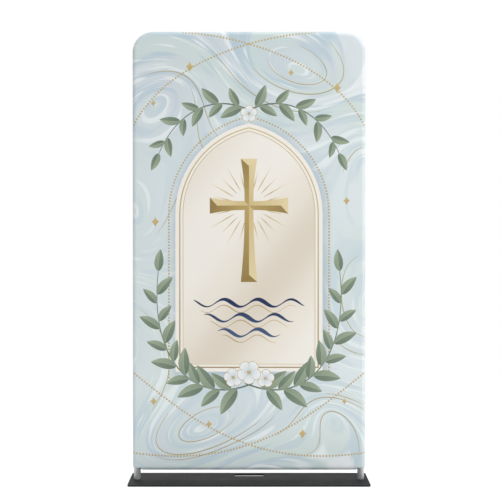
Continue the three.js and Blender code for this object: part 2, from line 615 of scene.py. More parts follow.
@dataclass(frozen=True)
class PrintedCloth(KnitCloth):
    """The front panel's cloth: a marbled ground with the print's own inks over it."""

    marbling: Marbling = Marbling()
    wash: float = 0.16
    base: BrushLayer = BrushLayer(9.0, 0.9, 1.7, 0.40, 0.62, 1.0, MIST_PALE)
    layers: tuple[BrushLayer, ...] = (
        BrushLayer(7.0, 1.4, 5.1, 0.44, 0.62, 0.85, MINT),
        BrushLayer(12.0, 1.8, 9.3, 0.54, 0.68, 0.4, LILAC),
        BrushLayer(19.0, 2.4, 13.9, 0.52, 0.64, 0.72, MIST_DEEP),
        BrushLayer(34.0, 2.8, 17.2, 0.55, 0.65, 0.5, MIST_DEEP),
        BrushLayer(30.0, 2.6, 21.4, 0.59, 0.67, 0.8, FOAM),
        BrushLayer(52.0, 3.2, 31.6, 0.61, 0.69, 0.7, FOAM),
    )
    haze: float = 0.42
    haze_middle: float = 1.08
    haze_near: float = 0.50
    haze_far: float = 1.18

    def flow(self, graph: Graph, flat: object) -> object:
        """Adds up the flow, whose level lines are the marbling's strokes.

        Args:
            graph: Where the nodes go.
            flat: The place on the flat cloth.

        Returns:
            The flow's value.
        """
        u, v, _ = graph.split(flat)
        total = graph.math("MULTIPLY", u, self.marbling.tilt_u)
        total = graph.math("MULTIPLY_ADD", v, self.marbling.tilt_v, total)
        for swirl in self.marbling.swirls:
            hill = graph.use(
                GROUPS.swirl(),
                Vector=flat,
                Middle_U=swirl.u,
                Middle_V=swirl.v,
                Long=swirl.long,
                Short=swirl.short,
                Turn=swirl.turn,
                Strength=swirl.strength,
            )
            total = graph.math("ADD", total, hill.outputs[0])
        return total

    def streak(self, graph: Graph, lane: object, layer: BrushLayer) -> object:
        """Brushes one layer of strokes along the flow's lanes and returns their value."""
        sizes = {"Across": layer.across, "Along": layer.along, "Place": layer.place}
        return graph.use(GROUPS.streaks(), Vector=lane, **sizes).outputs[0]

    def ground(self, graph: Graph, flat: object) -> object:
        """Paints the marbled ground.

        Args:
            graph: Where the nodes go.
            flat: The place on the flat cloth.

        Returns:
            Its colour.
        """
        u, v, _ = graph.split(flat)
        lane = graph.vector(self.flow(graph, flat), u, v)
        base = self.base
        wash = graph.math("MULTIPLY_ADD", u, self.wash, self.streak(graph, lane, base))
        colour = graph.mix(graph.smooth(wash, base.low, base.high), MIST, base.ink)
        for layer in self.layers:
            mask = graph.smooth(self.streak(graph, lane, layer), layer.low, layer.high)
            colour = graph.mix(graph.math("MULTIPLY", mask, layer.share), colour, layer.ink)
        off = graph.math("ABSOLUTE", graph.math("SUBTRACT", v, self.haze_middle))
        clear = graph.smooth(off, self.haze_near, self.haze_far)
        pale = graph.math("MULTIPLY_ADD", clear, -self.haze, self.haze)
        return graph.mix(pale, colour, HAZE)

    def build(self) -> Material:
        """Makes the cloth with its ground and its inks.

        Returns:
            The finished material.
        """
        material, graph, shader = new_material("printed_cloth")
        flat = graph.flat_place()
        inks = graph.add("ShaderNodeAttribute", attribute_name=INK_LAYER)
        colour = graph.mix(inks.outputs["Alpha"], self.ground(graph, flat), inks.outputs["Color"])
        self.dress(graph, shader, colour, flat)
        return material


@dataclass(frozen=True)
class PlainCloth(KnitCloth):
    """The back panel's unprinted cloth."""

    colour: Colour = print_colour(226, 232, 235)
    cloud_scale: float = 1.4
    cloud_share: float = 0.3

    def build(self) -> Material:
        """Makes the cloth, faintly clouded.

        Returns:
            The finished material.
        """
        material, graph, shader = new_material("plain_cloth")
        flat = graph.flat_place()
        cloud = graph.smooth(graph.noise(flat, self.cloud_scale), 0.2, 0.8)
        colour = graph.mix(cloud, self.colour, between(self.colour, FOAM, self.cloud_share))
        self.dress(graph, shader, colour, flat)
        return material


@dataclass(frozen=True)
class SatinTube:
    """Satin anodised aluminium with faint lines along the tube."""

    colour: Colour = (0.60, 0.61, 0.62)
    line_width: float = 0.0006
    line_length: float = 60.0
    line_depth: float = 0.0001
    cloud_scale: float = 9.0
    cloud_share: float = 0.35
    roughness: float = 0.36
    metal: float = 0.6

    def build(self) -> Material:
        """Makes the metal with its drawn lines.

        Returns:
            The finished material.
        """
        material, graph, shader = new_material("frame_tube")
        place = graph.object_place()
        group = GROUPS.grain()
        lines = graph.use(group, Vector=place, Size=self.line_width, Stretch=self.line_length)
        cloud = graph.smooth(graph.noise(place, self.cloud_scale), 0.3, 0.7)
        tone = graph.mix(cloud, self.colour, between(self.colour, MIST, self.cloud_share))
        graph.feed(shader.inputs["Base Color"], tone)
        rough = graph.math("MULTIPLY_ADD", lines.outputs[0], 0.16, self.roughness)
        graph.feed(shader.inputs["Roughness"], rough)
        graph.feed(shader.inputs["Normal"], bump(graph, lines.outputs[0], 0.25, self.line_depth))
        shader.inputs["Metallic"].default_value = self.metal
        return material


@dataclass(frozen=True)
class PowderCoat:
    """Dark grey satin powder coat with a fine orange peel."""

    colour: Colour = print_colour(27, 27, 29)
    dust: Colour = print_colour(42, 42, 44)
    dust_share: float = 0.3
    bare: Colour = print_colour(120, 120, 122)
    bare_share: float = 0.28
    bare_scale: float = 420.0
    peel_size: float = 0.0016
    peel_depth: float = 0.0002
    roughness: float = 0.5
    specular: float = 0.22

    def build(self) -> Material:
        """Makes the coat, a little dusty and rubbed at its edges.

        Returns:
            The finished material.
        """
        material, graph, shader = new_material("base_plate")
        place = graph.object_place()
        peel = graph.use(GROUPS.grain(), Vector=place, Size=self.peel_size).outputs[0]
        cloud = graph.smooth(graph.noise(place, 6.0, 4.0), 0.35, 0.65)
        dusty = graph.mix(graph.math("MULTIPLY", cloud, self.dust_share), self.colour, self.dust)
        wear = graph.add("ShaderNodeAttribute", attribute_name=WEAR_LAYER).outputs["Fac"]
        speck = graph.smooth(graph.noise(place, self.bare_scale, 3.0), 0.42, 0.62)
        rubbed = graph.math("MULTIPLY", graph.math("MULTIPLY", wear, speck), self.bare_share)
        graph.feed(shader.inputs["Base Color"], graph.mix(rubbed, dusty, self.bare))
        rough = graph.math("MULTIPLY_ADD", cloud, 0.08, self.roughness)
        graph.feed(shader.inputs["Roughness"], rough)
        graph.feed(shader.inputs["Normal"], bump(graph, peel, 0.3, self.peel_depth))
        shader.inputs["Specular IOR Level"].default_value = self.specular
        return material


@dataclass(frozen=True)
class Thread:
    """Matt polyester sewing thread."""

    colour: Colour = print_colour(206, 216, 222)
    ply_size: float = 0.0007
    ply_depth: float = 0.0001
    roughness: float = 0.6

    def build(self) -> Material:
        """Makes the thread.

        Returns:
            The finished material.
        """
        material, graph, shader = new_material("thread")
        place = graph.object_place()
        ply = graph.use(GROUPS.grain(), Vector=place, Size=self.ply_size).outputs[0]
        graph.feed(shader.inputs["Base Color"], graph.mix(ply, self.colour, FOAM))
        graph.feed(shader.inputs["Roughness"], graph.math("MULTIPLY_ADD", ply, 0.1, self.roughness))
        graph.feed(shader.inputs["Normal"], bump(graph, ply, 0.3, self.ply_depth))
        return material


# ---------------- the cloth's form
class Side(Enum):
    """The two faces of the sleeve, by the sign of Y."""

    FRONT = -1
    BACK = 1


@dataclass(frozen=True)
class SleeveForm:
    """How flat cloth lies once it is pulled over the frame.

    The flat cloth is measured by u, to the right, and v, up. Over the face they equal X and Z. Past
    the face the cloth turns round the tube, and it ends at the seam in the plane between the panels.
    """

    half_width: float
    bottom: float
    top: float
    depth: float
    reach: float = 0.0225
    bend: float = 0.085
    land: float = 0.001
    seam_half_gap: float = 0.00015
    furrow: float = 0.0005
    notch_width: float = 0.046
    notch_top: float = 0.0705
    swell: float = 0.0007

    @classmethod
    def from_frame(cls) -> "SleeveForm":
        """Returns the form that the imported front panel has."""
        low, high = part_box("front_panel")
        return cls(half_width=high[0], bottom=low[2], top=high[2], depth=-low[1])

    @property
    def face_half(self) -> float:
        """Half the width of the flat face."""
        return self.half_width - self.reach

    @property
    def face_top(self) -> float:
        """The flat face's upper edge."""
        return self.top - self.reach

    @property
    def face_bottom(self) -> float:
        """The flat face's lower edge."""
        return self.bottom + self.reach

    @property
    def turn(self) -> float:
        """The cloth's length round the tube: a quarter of an ellipse.

        Returns:
            The length.
        """
        wide = self.reach
        deep = self.depth - self.land
        spread = ((wide - deep) / (wide + deep)) ** 2
        whole = math.pi * (wide + deep) * (1 + 3 * spread / (10 + math.sqrt(4 - 3 * spread)))
        return whole / 4

    @property
    def extent(self) -> float:
        """The cloth's length from the face's edge to the seam."""
        return self.turn + self.land - self.seam_half_gap

    @property
    def hem_half(self) -> float:
        """Half the width of the closed hem, between the two leg notches."""
        return self.half_width - self.notch_width

    @property
    def notch_share(self) -> float:
        """How far out of the rim's reach the notch's edge lies."""
        return (self.face_bottom - self.notch_top) / self.reach

    def rim(self, u: float, v: float) -> tuple[float, float, float, float, float]:
        """Finds where a point lies from the face's edge.

        Args:
            u: Place across the flat cloth.
            v: Place up the flat cloth.

        Returns:
            The nearest point of the edge's core (u, v), the direction out (u, v) and the distance
            past the edge, which is negative on the face.
        """
        core_u = self.face_half - self.bend
        core_v = self.face_top - self.bend
        if abs(u) > core_u and v > core_v:
            du = abs(u) - core_u
            dv = v - core_v
            far = math.hypot(du, dv)
            out_u = math.copysign(du / far, u)
            out_v = dv / far
            near_u = math.copysign(core_u, u) + out_u * self.bend
            return near_u, core_v + out_v * self.bend, out_u, out_v, far - self.bend
        near_u = min(self.face_half, max(-self.face_half, u))
        near_v = min(self.face_top, max(self.face_bottom, v))
        du = u - near_u
        dv = v - near_v
        far = math.hypot(du, dv)
        if far == 0:
            inside = min(self.face_half - abs(u), self.face_top - v, v - self.face_bottom)
            return near_u, near_v, 0.0, 0.0, -inside
        return near_u, near_v, du / far, dv / far, far

    def ripple(self, u: float, v: float, inward: float) -> float:
        """Works out the face's faint swell, which is nothing at the rim.

        Args:
            u: Place across the flat cloth.
            v: Place up the flat cloth.
            inward: The distance in from the rim.

        Returns:
            How far the cloth stands out.
        """
        calm = ease(inward, 0.0, 0.12)
        long_wave = math.sin(5.1 * u + 1.3 * v + 0.7) * math.sin(2.3 * v - 1.9 * u + 0.4)
        short_wave = math.sin(9.7 * u - 3.1 * v) * math.sin(6.3 * v + 1.1)
        return self.swell * calm * (0.7 * long_wave + 0.3 * short_wave)

    def place(self, u: float, v: float, side: Side, inset: float = 0.0) -> Vector:
        """Returns where a point of the flat cloth lies.

        Args:
            u: Place across the flat cloth.
            v: Place up the flat cloth.
            side: Which panel it is on.
            inset: How far under the outer surface it lies.

        Returns:
            The point in the frame.
        """
        near_u, near_v, out_u, out_v, past = self.rim(u, v)
        deep = self.depth - self.land - inset
        if past <= 0:
            y = self.land + deep + self.ripple(u, v, -past)
            return Vector((u, side.value * y, v))
        turned = min(past, self.turn) / self.turn * math.pi / 2
        out = (self.reach - inset) * math.sin(turned)
        y = self.land + deep * math.cos(turned)
        if past > self.turn:
            along = min(1.0, (past - self.turn) / (self.extent - self.turn))
            y = self.land + (self.seam_half_gap - self.land) * along
            out -= self.furrow * along**2
        return Vector((near_u + out_u * out, side.value * y, near_v + out_v * out))

    def holds(self, u: float, v: float) -> bool:
        """Tells whether a point is cloth: short of the seam and not in a leg notch.

        Args:
            u: Place across the flat cloth.
            v: Place up the flat cloth.

        Returns:
            Whether it is.
        """
        _, _, _, out_v, past = self.rim(u, v)
        if past > self.extent:
            return False
        if past <= 0 or abs(u) <= self.hem_half or out_v >= 0:
            return True
        share = math.sin(min(past, self.turn) / self.turn * math.pi / 2)
        return share * -out_v < self.notch_share

    def notch_edge(self, steps: int) -> list[Point]:
        """Draws the right leg notch's edge.

        Args:
            steps: How many points each of its two curves has.

        Returns:
            The edge, from the hem's end out to the seam, and up to the side.
        """
        drop = self.turn * math.asin(self.notch_share) / (math.pi / 2)
        last = math.acos(self.notch_share)
        points = [(self.hem_half, self.face_bottom - drop)]
        for i in range(steps + 1):
            angle = last * i / steps
            share = min(1.0, self.notch_share / math.cos(angle))
            far = self.turn * math.asin(share) / (math.pi / 2)
            points.append(self.about_corner(angle, far))
        for i in range(steps + 1):
            angle = last + (math.pi / 2 - last) * i / steps
            points.append(self.about_corner(angle, self.extent))
        return points

    def about_corner(self, angle: float, far: float) -> Point:
        """Returns a point round the face's lower right corner, by its angle from straight down."""
        return (self.face_half + far * math.sin(angle), self.face_bottom - far * math.cos(angle))

    def half_outline(self, past: float, steps: int) -> list[Point]:
        """Returns the right half of a line that runs a set distance past the face's edge.

        Args:
            past: The distance past the edge.
            steps: How many points the round top corner has.

        Returns:
            Points from the lower right corner up and in to the middle of the top.
        """
        points = [(self.face_half + past, self.face_bottom)]
        core_u = self.face_half - self.bend
        core_v = self.face_top - self.bend
        radius = self.bend + past
        for i in range(steps + 1):
            angle = math.pi / 2 * i / steps
            points.append((core_u + radius * math.cos(angle), core_v + radius * math.sin(angle)))
        points.append((0.0, self.face_top + past))
        return points

    def outline(self, spacing: float) -> list[Point]:
        """Draws the cut cloth's outline.

        Args:
            spacing: The longest step between points.

        Returns:
            Its points, anticlockwise.
        """
        hem = self.face_bottom - self.extent
        right = [(0.0, hem), (self.hem_half, hem)]
        right += self.notch_edge(8)[:-1]
        right += self.half_outline(self.extent, 16)
        left = [(-u, v) for u, v in reversed(right)][1:-1]
        return divided([*right, *left], spacing, closed=True)


def divided(points: Sequence[Point], spacing: float, closed: bool = False) -> list[Point]:
    """Adds points to a line so that no two neighbours are more than a spacing apart.

    Args:
        points: The line's points.
        spacing: The longest step.
        closed: Whether the last point joins the first.

    Returns:
        The line with the points added.
    """
    result = []
    ends = [*points[1:], points[0]] if closed else list(points[1:])
    for (u0, v0), (u1, v1) in zip(points, ends):
        parts = max(1, math.ceil(math.hypot(u1 - u0, v1 - v0) / spacing))
        for i in range(parts):
            result.append((u0 + (u1 - u0) * i / parts, v0 + (v1 - v0) * i / parts))
    if not closed:
        result.append(points[-1])
    return result


def spaced(route: Sequence[Point], pitch: float) -> list[tuple[Point, Point]]:
    """Steps evenly along a route.

    Args:
        route: The route's points.
        pitch: The distance between places.

    Returns:
        Each place with its direction.
    """
    found = []
    travelled = pitch / 2
    for (u0, v0), (u1, v1) in zip(route, route[1:]):
        length = math.hypot(u1 - u0, v1 - v0)
        way = ((u1 - u0) / length, (v1 - v0) / length)
        while travelled < length:
            found.append(((u0 + way[0] * travelled, v0 + way[1] * travelled), way))
            travelled += pitch
        travelled -= length
    return found


def signed_area(outline: Sequence[Point]) -> float:
    """Returns an outline's area, which is less than nothing where it runs clockwise."""
    pairs = zip(outline, [*outline[1:], outline[0]])
    return sum(u0 * v1 - u1 * v0 for (u0, v0), (u1, v1) in pairs) / 2


# ---------------- printed inks
class InkRule(Protocol):
    """Anything that gives an ink for each place on the cloth."""

    def at(self, u: float, v: float) -> Ink:
        """Returns the ink at a place: its colour and how much of the ground it covers."""


@dataclass(frozen=True)
class FlatInk:
    """One even colour."""

    colour: Colour
    cover: float = 1.0

    def at(self, u: float, v: float) -> Ink:
        """Returns the same ink everywhere."""
        return (*self.colour, self.cover)


@dataclass(frozen=True)
class GradedInk:
    """A colour that runs into another from a start point to an end point."""

    first: Colour
    second: Colour
    start: Point
    end: Point

    def at(self, u: float, v: float) -> Ink:
        """Mixes the ink by the share of the way from start to end.

        Args:
            u: Place across the flat cloth.
            v: Place up the flat cloth.

        Returns:
            The ink.
        """
        run_u = self.end[0] - self.start[0]
        run_v = self.end[1] - self.start[1]
        way = (u - self.start[0]) * run_u + (v - self.start[1]) * run_v
        return (*between(self.first, self.second, way / (run_u**2 + run_v**2)), 1.0)


@dataclass(frozen=True)
class SatinInk:
    """Cream satin: pale in the middle of a slanting sheen, warmer towards the edges."""

    pale: Colour = CREAM_PALE
    middle: Colour = CREAM
    shade: Colour = CREAM_SHADE
    slant: float = 0.9
    period: float = 0.86
    start: float = 0.12

    def at(self, u: float, v: float) -> Ink:
        """Shades the satin where the slanting sheen passes.

        Args:
            u: Place across the flat cloth.
            v: Place up the flat cloth.

        Returns:
            The ink.
        """
        way = (v * math.cos(self.slant) - u * math.sin(self.slant) - self.start) / self.period
        sheen = 0.5 + 0.5 * math.cos(2 * math.pi * way)
        soft = between(self.middle, self.pale, ease(sheen, 0.35, 1.0))
        return (*between(self.shade, soft, ease(sheen, -0.25, 0.4)), 1.0)


@dataclass(frozen=True)
class Motif:
    """One printed shape: an outline in flat cloth metres and its ink."""

    outline: list[Point]
    ink: InkRule


def disc(middle: Point, radius: float, sides: int) -> list[Point]:
    """Returns a round outline."""
    return [polar(middle, 2 * math.pi * i / sides, radius) for i in range(sides)]


def stroke(points: Sequence[Point], widths: Sequence[float]) -> list[Point]:
    """Returns the outline of a pen stroke.

    Args:
        points: The stroke's middle line.
        widths: Its full width at each point.

    Returns:
        One edge forwards, then the other backwards.
    """
    left: list[Point] = []
    right: list[Point] = []
    last = len(points) - 1
    for i, ((u, v), width) in enumerate(zip(points, widths)):
        before = points[max(0, i - 1)]
        after = points[min(last, i + 1)]
        run = math.hypot(after[0] - before[0], after[1] - before[1])
        side_u = -(after[1] - before[1]) / run * width / 2
        side_v = (after[0] - before[0]) / run * width / 2
        left.append((u + side_u, v + side_v))
        right.append((u - side_u, v - side_v))
    return [*right, *reversed(left)]


def polar(middle: Point, angle: float, far: float, aside: float = 0.0) -> Point:
    """Finds a point by its way from a middle.

    Args:
        middle: Where the way starts.
        angle: Where it points.
        far: How far it goes.
        aside: How far it then steps off to the left.

    Returns:
        The point.
    """
    cosine = math.cos(angle)
    sine = math.sin(angle)
    return (middle[0] + far * cosine - aside * sine, middle[1] + far * sine + aside * cosine)


def bezier(knots: Sequence[Point], share: float) -> Point:
    """Finds a point of a cubic curve.

    Args:
        knots: Its four knots.
        share: How far along it the point lies.

    Returns:
        The point.
    """
    rest = 1 - share
    weights = (rest**3, 3 * rest**2 * share, 3 * rest * share**2, share**3)
    return (
        sum(w * k[0] for w, k in zip(weights, knots)),
        sum(w * k[1] for w, k in zip(weights, knots)),
    )


# ---------------- printed motifs
@dataclass(frozen=True)
class ShadeInk:
    """A soft shade round the church window, dying away outwards."""

    window: "ChurchWindow"
    colour: Colour = SLATE
    cover: float = 0.42
    spread: float = 0.05
    shift_u: float = 0.008
    shift_v: float = -0.012

    def at(self, u: float, v: float) -> Ink:
        """Returns the shade, weaker the further a place lies from the window."""
        far = self.window.distance(u - self.shift_u, v - self.shift_v)
        return (*self.colour, self.cover * (1 - ease(far, -0.01, self.spread)))


@dataclass(frozen=True)
class ChurchWindow:
    """The pointed window of cream satin that carries the print's middle."""

    half_width: float = 0.385
    sill: float = 0.575
    spring: float = 1.40
    lean: float = 0.10
    steps: int = 18
    insets: tuple[float, ...] = (0.0, 0.020, 0.026, 0.038, 0.041)
    shade_margin: float = 0.066

    def outline(self, inset: float) -> list[Point]:
        """Draws the window's outline.

        Args:
            inset: How far inside the window it runs.

        Returns:
            Its points, anticlockwise.
        """
        radius = self.half_width + self.lean - inset
        last = math.acos(self.lean / radius)
        right = [(self.half_width - inset, self.sill + inset)]
        for i in range(self.steps + 1):
            angle = last * i / self.steps
            reach = radius * math.cos(angle) - self.lean
            right.append((reach, self.spring + radius * math.sin(angle)))
        right[-1] = (0.0, right[-1][1])
        left = [(-u, v) for u, v in reversed(right)][1:]
        return [*right, *left]

    def distance(self, u: float, v: float) -> float:
        """Measures how far outside the window a place lies.

        Args:
            u: Place across the flat cloth.
            v: Place up the flat cloth.

        Returns:
            The distance, less than nothing inside.
        """
        if v > self.spring:
            radius = self.half_width + self.lean
            return math.hypot(abs(u) + self.lean, v - self.spring) - radius
        du = abs(u) - self.half_width
        dv = self.sill - v
        if du > 0 and dv > 0:
            return math.hypot(du, dv)
        return max(du, dv)

    def motifs(self) -> list[Motif]:
        """Prints the window.

        Returns:
            The shade, the frame with its two gold lines, and the satin field.
        """
        shade = ShadeInk(self)
        low = (-0.2, self.sill)
        high = (0.25, self.spring + 0.45)
        gold = GradedInk(GOLD_DEEP, GOLD_LIGHT, low, high)
        fine = GradedInk(GOLD_LIGHT, GOLD, low, high)
        inks: list[InkRule] = [FlatInk(CREAM_PALE), gold, FlatInk(CREAM_PALE), fine, SatinInk()]
        pads = [Motif(divided(self.outline(-self.shade_margin), 0.02, closed=True), shade)]
        for inset, ink in zip(self.insets, inks):
            pads.append(Motif(self.outline(inset), ink))
        return pads


@dataclass(frozen=True)
class BeadedLine:
    """A string of small gold beads along a route."""

    route: tuple[Point, ...]
    pitch: float = 0.0165
    radius: float = 0.0052
    heart: float = 0.0019

    def motifs(self) -> list[Motif]:
        """Prints the beads, spaced evenly over the route.

        Returns:
            Each bead and its pale heart.
        """
        beads: list[Motif] = []
        for (u, v), _ in spaced(self.route, self.pitch):
            low = (u - 0.004, v - 0.004)
            high = (u + 0.003, v + 0.004)
            gold = GradedInk(GOLD_DEEP, GOLD_LIGHT, low, high)
            beads.append(Motif(disc((u, v), self.radius, 8), gold))
            beads.append(Motif(disc((u, v), self.heart, 5), FlatInk(GOLD_PALE)))
        return beads


@dataclass(frozen=True)
class Hairlines:
    """Fine gold lines that follow the marbling, each tapered at both ends."""

    marbling: Marbling
    seeds: tuple[tuple[float, float, float, float], ...] = (
        (0.42, 2.30, -0.75, 0.0036),
        (0.10, 2.22, 0.62, 0.0030),
        (-0.20, 2.26, 0.70, 0.0034),
        (-0.30, 2.04, 0.55, 0.0026),
        (-0.56, 2.12, 0.60, 0.0034),
        (-0.57, 1.62, 0.60, 0.0030),
        (-0.48, 1.30, 0.50, 0.0026),
        (0.56, 1.90, 0.62, 0.0032),
        (0.49, 1.62, 0.50, 0.0026),
        (0.57, 1.18, 0.60, 0.0032),
        (0.45, 0.74, 0.55, 0.0028),
        (-0.57, 0.90, 0.60, 0.0030),
        (-0.42, 0.36, 0.80, 0.0036),
        (-0.10, 0.36, 0.70, 0.0030),
        (0.14, 0.24, 0.75, 0.0034),
        (0.40, 0.46, 0.60, 0.0028),
        (0.30, 0.14, 0.60, 0.0034),
        (-0.50, 0.14, 0.70, 0.0030),
    )
    edge_u: float = 0.608
    low_v: float = 0.062
    high_v: float = 2.352
    fewest_points: int = 12
    tip_width: float = 0.0011
    taper: float = 0.7

    def motifs(self) -> list[Motif]:
        """Prints the lines, cut short where they would leave the cloth.

        Returns:
            The lines.
        """
        found: list[Motif] = []
        for u, v, length, width in self.seeds:
            line = []
            for spot in self.marbling.trace((u, v), length):
                if abs(spot[0]) > self.edge_u or not self.low_v < spot[1] < self.high_v:
                    break
                line.append(spot)
            if len(line) < self.fewest_points:
                continue
            whole = len(line)
            swell = [math.sin(math.pi * (i + 0.5) / whole) ** self.taper for i in range(whole)]
            widths = [self.tip_width + width * share for share in swell]
            ink = GradedInk(GOLD, GOLD_DULL, line[0], line[whole // 2])
            found.append(Motif(stroke(line, widths), ink))
        return found


@dataclass(frozen=True)
class RayedCross:
    """A plain gold Latin cross with a chiselled face and fine rays behind it."""

    middle: Point = (0.0, 1.445)
    up: float = 0.245
    down: float = 0.40
    across: float = 0.205
    waist: float = 0.023
    flare: float = 0.043
    bevel: float = 0.038
    steps: int = 6
    ray_start: float = 0.088
    ray_lengths: tuple[float, ...] = (0.10, 0.145, 0.115, 0.145, 0.10)
    ray_widths: tuple[float, ...] = (0.0012, 0.0058, 0.0010)
    ray_shares: tuple[float, ...] = (0.0, 0.3, 1.0)

    def arm(self, angle: float, length: float, lit_left: bool) -> list[Motif]:
        """Prints one arm.

        Args:
            angle: The way that the arm points.
            length: From the cross's middle to the arm's end.
            lit_left: Whether the light falls on the facet left of the arm's own direction.

        Returns:
            Its two long facets and its end facet.
        """
        local = partial(polar, self.middle, angle)
        facets: list[Motif] = []
        for sign in (-1, 1):
            edge = []
            for i in range(self.steps + 1):
                share = i / self.steps
                run = self.waist + (length - self.waist) * share
                half = self.waist + (self.flare - self.waist) * share**2
                edge.append(local(run, sign * half))
            outline = [local(0, 0), *edge, local(length - self.bevel, 0)]
            lit = (sign > 0) == lit_left
            pair = (GOLD_LIGHT, GOLD_PALE) if lit else (GOLD, GOLD_DEEP)
            facets.append(Motif(outline, GradedInk(*pair, local(0, 0), local(length, 0))))
        tip = [local(length - self.bevel, 0), local(length, -self.flare), local(length, self.flare)]
        lit_end = math.sin(angle) + math.cos(angle) > 0
        facets.append(Motif(tip, FlatInk(GOLD_PALE if lit_end else GOLD_DEEP)))
        return facets

    def rays(self) -> list[Motif]:
        """Prints the fine tapered rays in the four quarters.

        Returns:
            The rays.
        """
        found: list[Motif] = []
        quarter = math.pi / 2
        for turn in range(4):
            for i, length in enumerate(self.ray_lengths):
                angle = quarter * (turn + (i + 1) / (len(self.ray_lengths) + 1))
                reaches = [self.ray_start + length * share for share in self.ray_shares]
                line = [polar(self.middle, angle, reach) for reach in reaches]
                ink = GradedInk(GOLD, GOLD_PALE, line[0], line[-1])
                found.append(Motif(stroke(line, self.ray_widths), ink))
        return found

    def motifs(self) -> list[Motif]:
        """Prints the rays and then the cross over them.

        Returns:
            The rays and the facets.
        """
        quarter = math.pi / 2
        arms = (
            (quarter, self.up, False),
            (-quarter, self.down, True),
            (0.0, self.across, True),
            (2 * quarter, self.across, False),
        )
        cross = [facet for angle, length, lit in arms for facet in self.arm(angle, length, lit)]
        return [*self.rays(), *cross]


@dataclass(frozen=True)
class WaterLines:
    """Wavy lines of water in blue ink, thick and thin as from a broad pen."""

    top: float = 0.935
    spacing: float = 0.078
    half_widths: tuple[float, ...] = (0.292, 0.236, 0.165)
    wave: float = 0.176
    rise: float = 0.0195
    thin: float = 0.0056
    thick: float = 0.0225
    tip: float = 0.0008
    gold_share: float = 0.86
    gold_drop: float = 0.031
    gold_thin: float = 0.0022
    gold_thick: float = 0.0050
    press_lead: float = 0.4
    steps: int = 64

    def line(self, row: int, half: float, lift: float, thin: float, thick: float) -> list[Point]:
        """Returns one wavy pen stroke.

        Args:
            row: Which line it is, from the top.
            half: Half its width.
            lift: How far above its row it lies.
            thin: The pen's narrowest line.
            thick: The pen's broadest line.

        Returns:
            The stroke's outline.
        """
        middle = []
        widths = []
        for i in range(self.steps + 1):
            share = i / self.steps
            u = half * (2 * share - 1)
            phase = 2 * math.pi * u / self.wave + row * math.pi
            v = self.top - row * self.spacing + lift + self.rise * math.sin(phase)
            press = 0.5 - 0.5 * math.cos(phase + self.press_lead)
            taper = math.sin(math.pi * share) ** 0.5
            middle.append((u, v))
            widths.append(self.tip + taper * (thin + (thick - thin) * press))
        return stroke(middle, widths)

    def motifs(self) -> list[Motif]:
        """Prints a navy line in each row with a fine gold line under it.

        Returns:
            The lines.
        """
        lines: list[Motif] = []
        for row, half in enumerate(self.half_widths):
            height = self.top - row * self.spacing
            gold = GradedInk(GOLD_DEEP, GOLD_LIGHT, (-half, height), (half, height))
            short = half * self.gold_share
            under = self.line(row, short, -self.gold_drop, self.gold_thin, self.gold_thick)
            lines.append(Motif(under, gold))
            navy = GradedInk(NAVY, NAVY_SOFT, (0.0, self.top), (0.0, self.top - 4.0 * self.spacing))
            lines.append(Motif(self.line(row, half, 0.0, self.thin, self.thick), navy))
        return lines


@dataclass(frozen=True)
class Leaf:
    """One leaf in two tones, folded along its vein."""

    foot: Point
    angle: float
    length: float
    width: float
    curl: float
    lit_left: bool
    steps: int = 9
    belly: float = 0.82
    fullness: float = 0.8
    vein_width: float = 0.0024
    vein_loss: float = 0.0018

    def local(self, run: float, off: float) -> Point:
        """Returns a point by its share along the leaf and its offset to the left."""
        bowed = off + self.curl * self.length * run * (1 - run)
        return polar(self.foot, self.angle, run * self.length, bowed)

    def motifs(self) -> list[Motif]:
        """Prints the leaf.

        Returns:
            Its two halves and its vein.
        """
        shares = [i / self.steps for i in range(self.steps + 1)]
        vein = [self.local(share, 0.0) for share in shares]
        halves: list[Motif] = []
        for sign in (-1, 1):
            edge = []
            for share in shares[1:-1]:
                swell = math.sin(math.pi * share**self.belly) ** self.fullness
                edge.append(self.local(share, sign * (self.width / 2 * swell)))
            lit = (sign > 0) == self.lit_left
            pair = (SAGE, SAGE_PALE) if lit else (SAGE_DEEP, SAGE)
            halves.append(Motif([*vein, *reversed(edge)], GradedInk(*pair, vein[0], vein[-1])))
        widths = [self.vein_width - self.vein_loss * share for share in shares[:-1]]
        halves.append(Motif(stroke(vein[:-1], widths), FlatInk(SAGE_PALE)))
        return halves


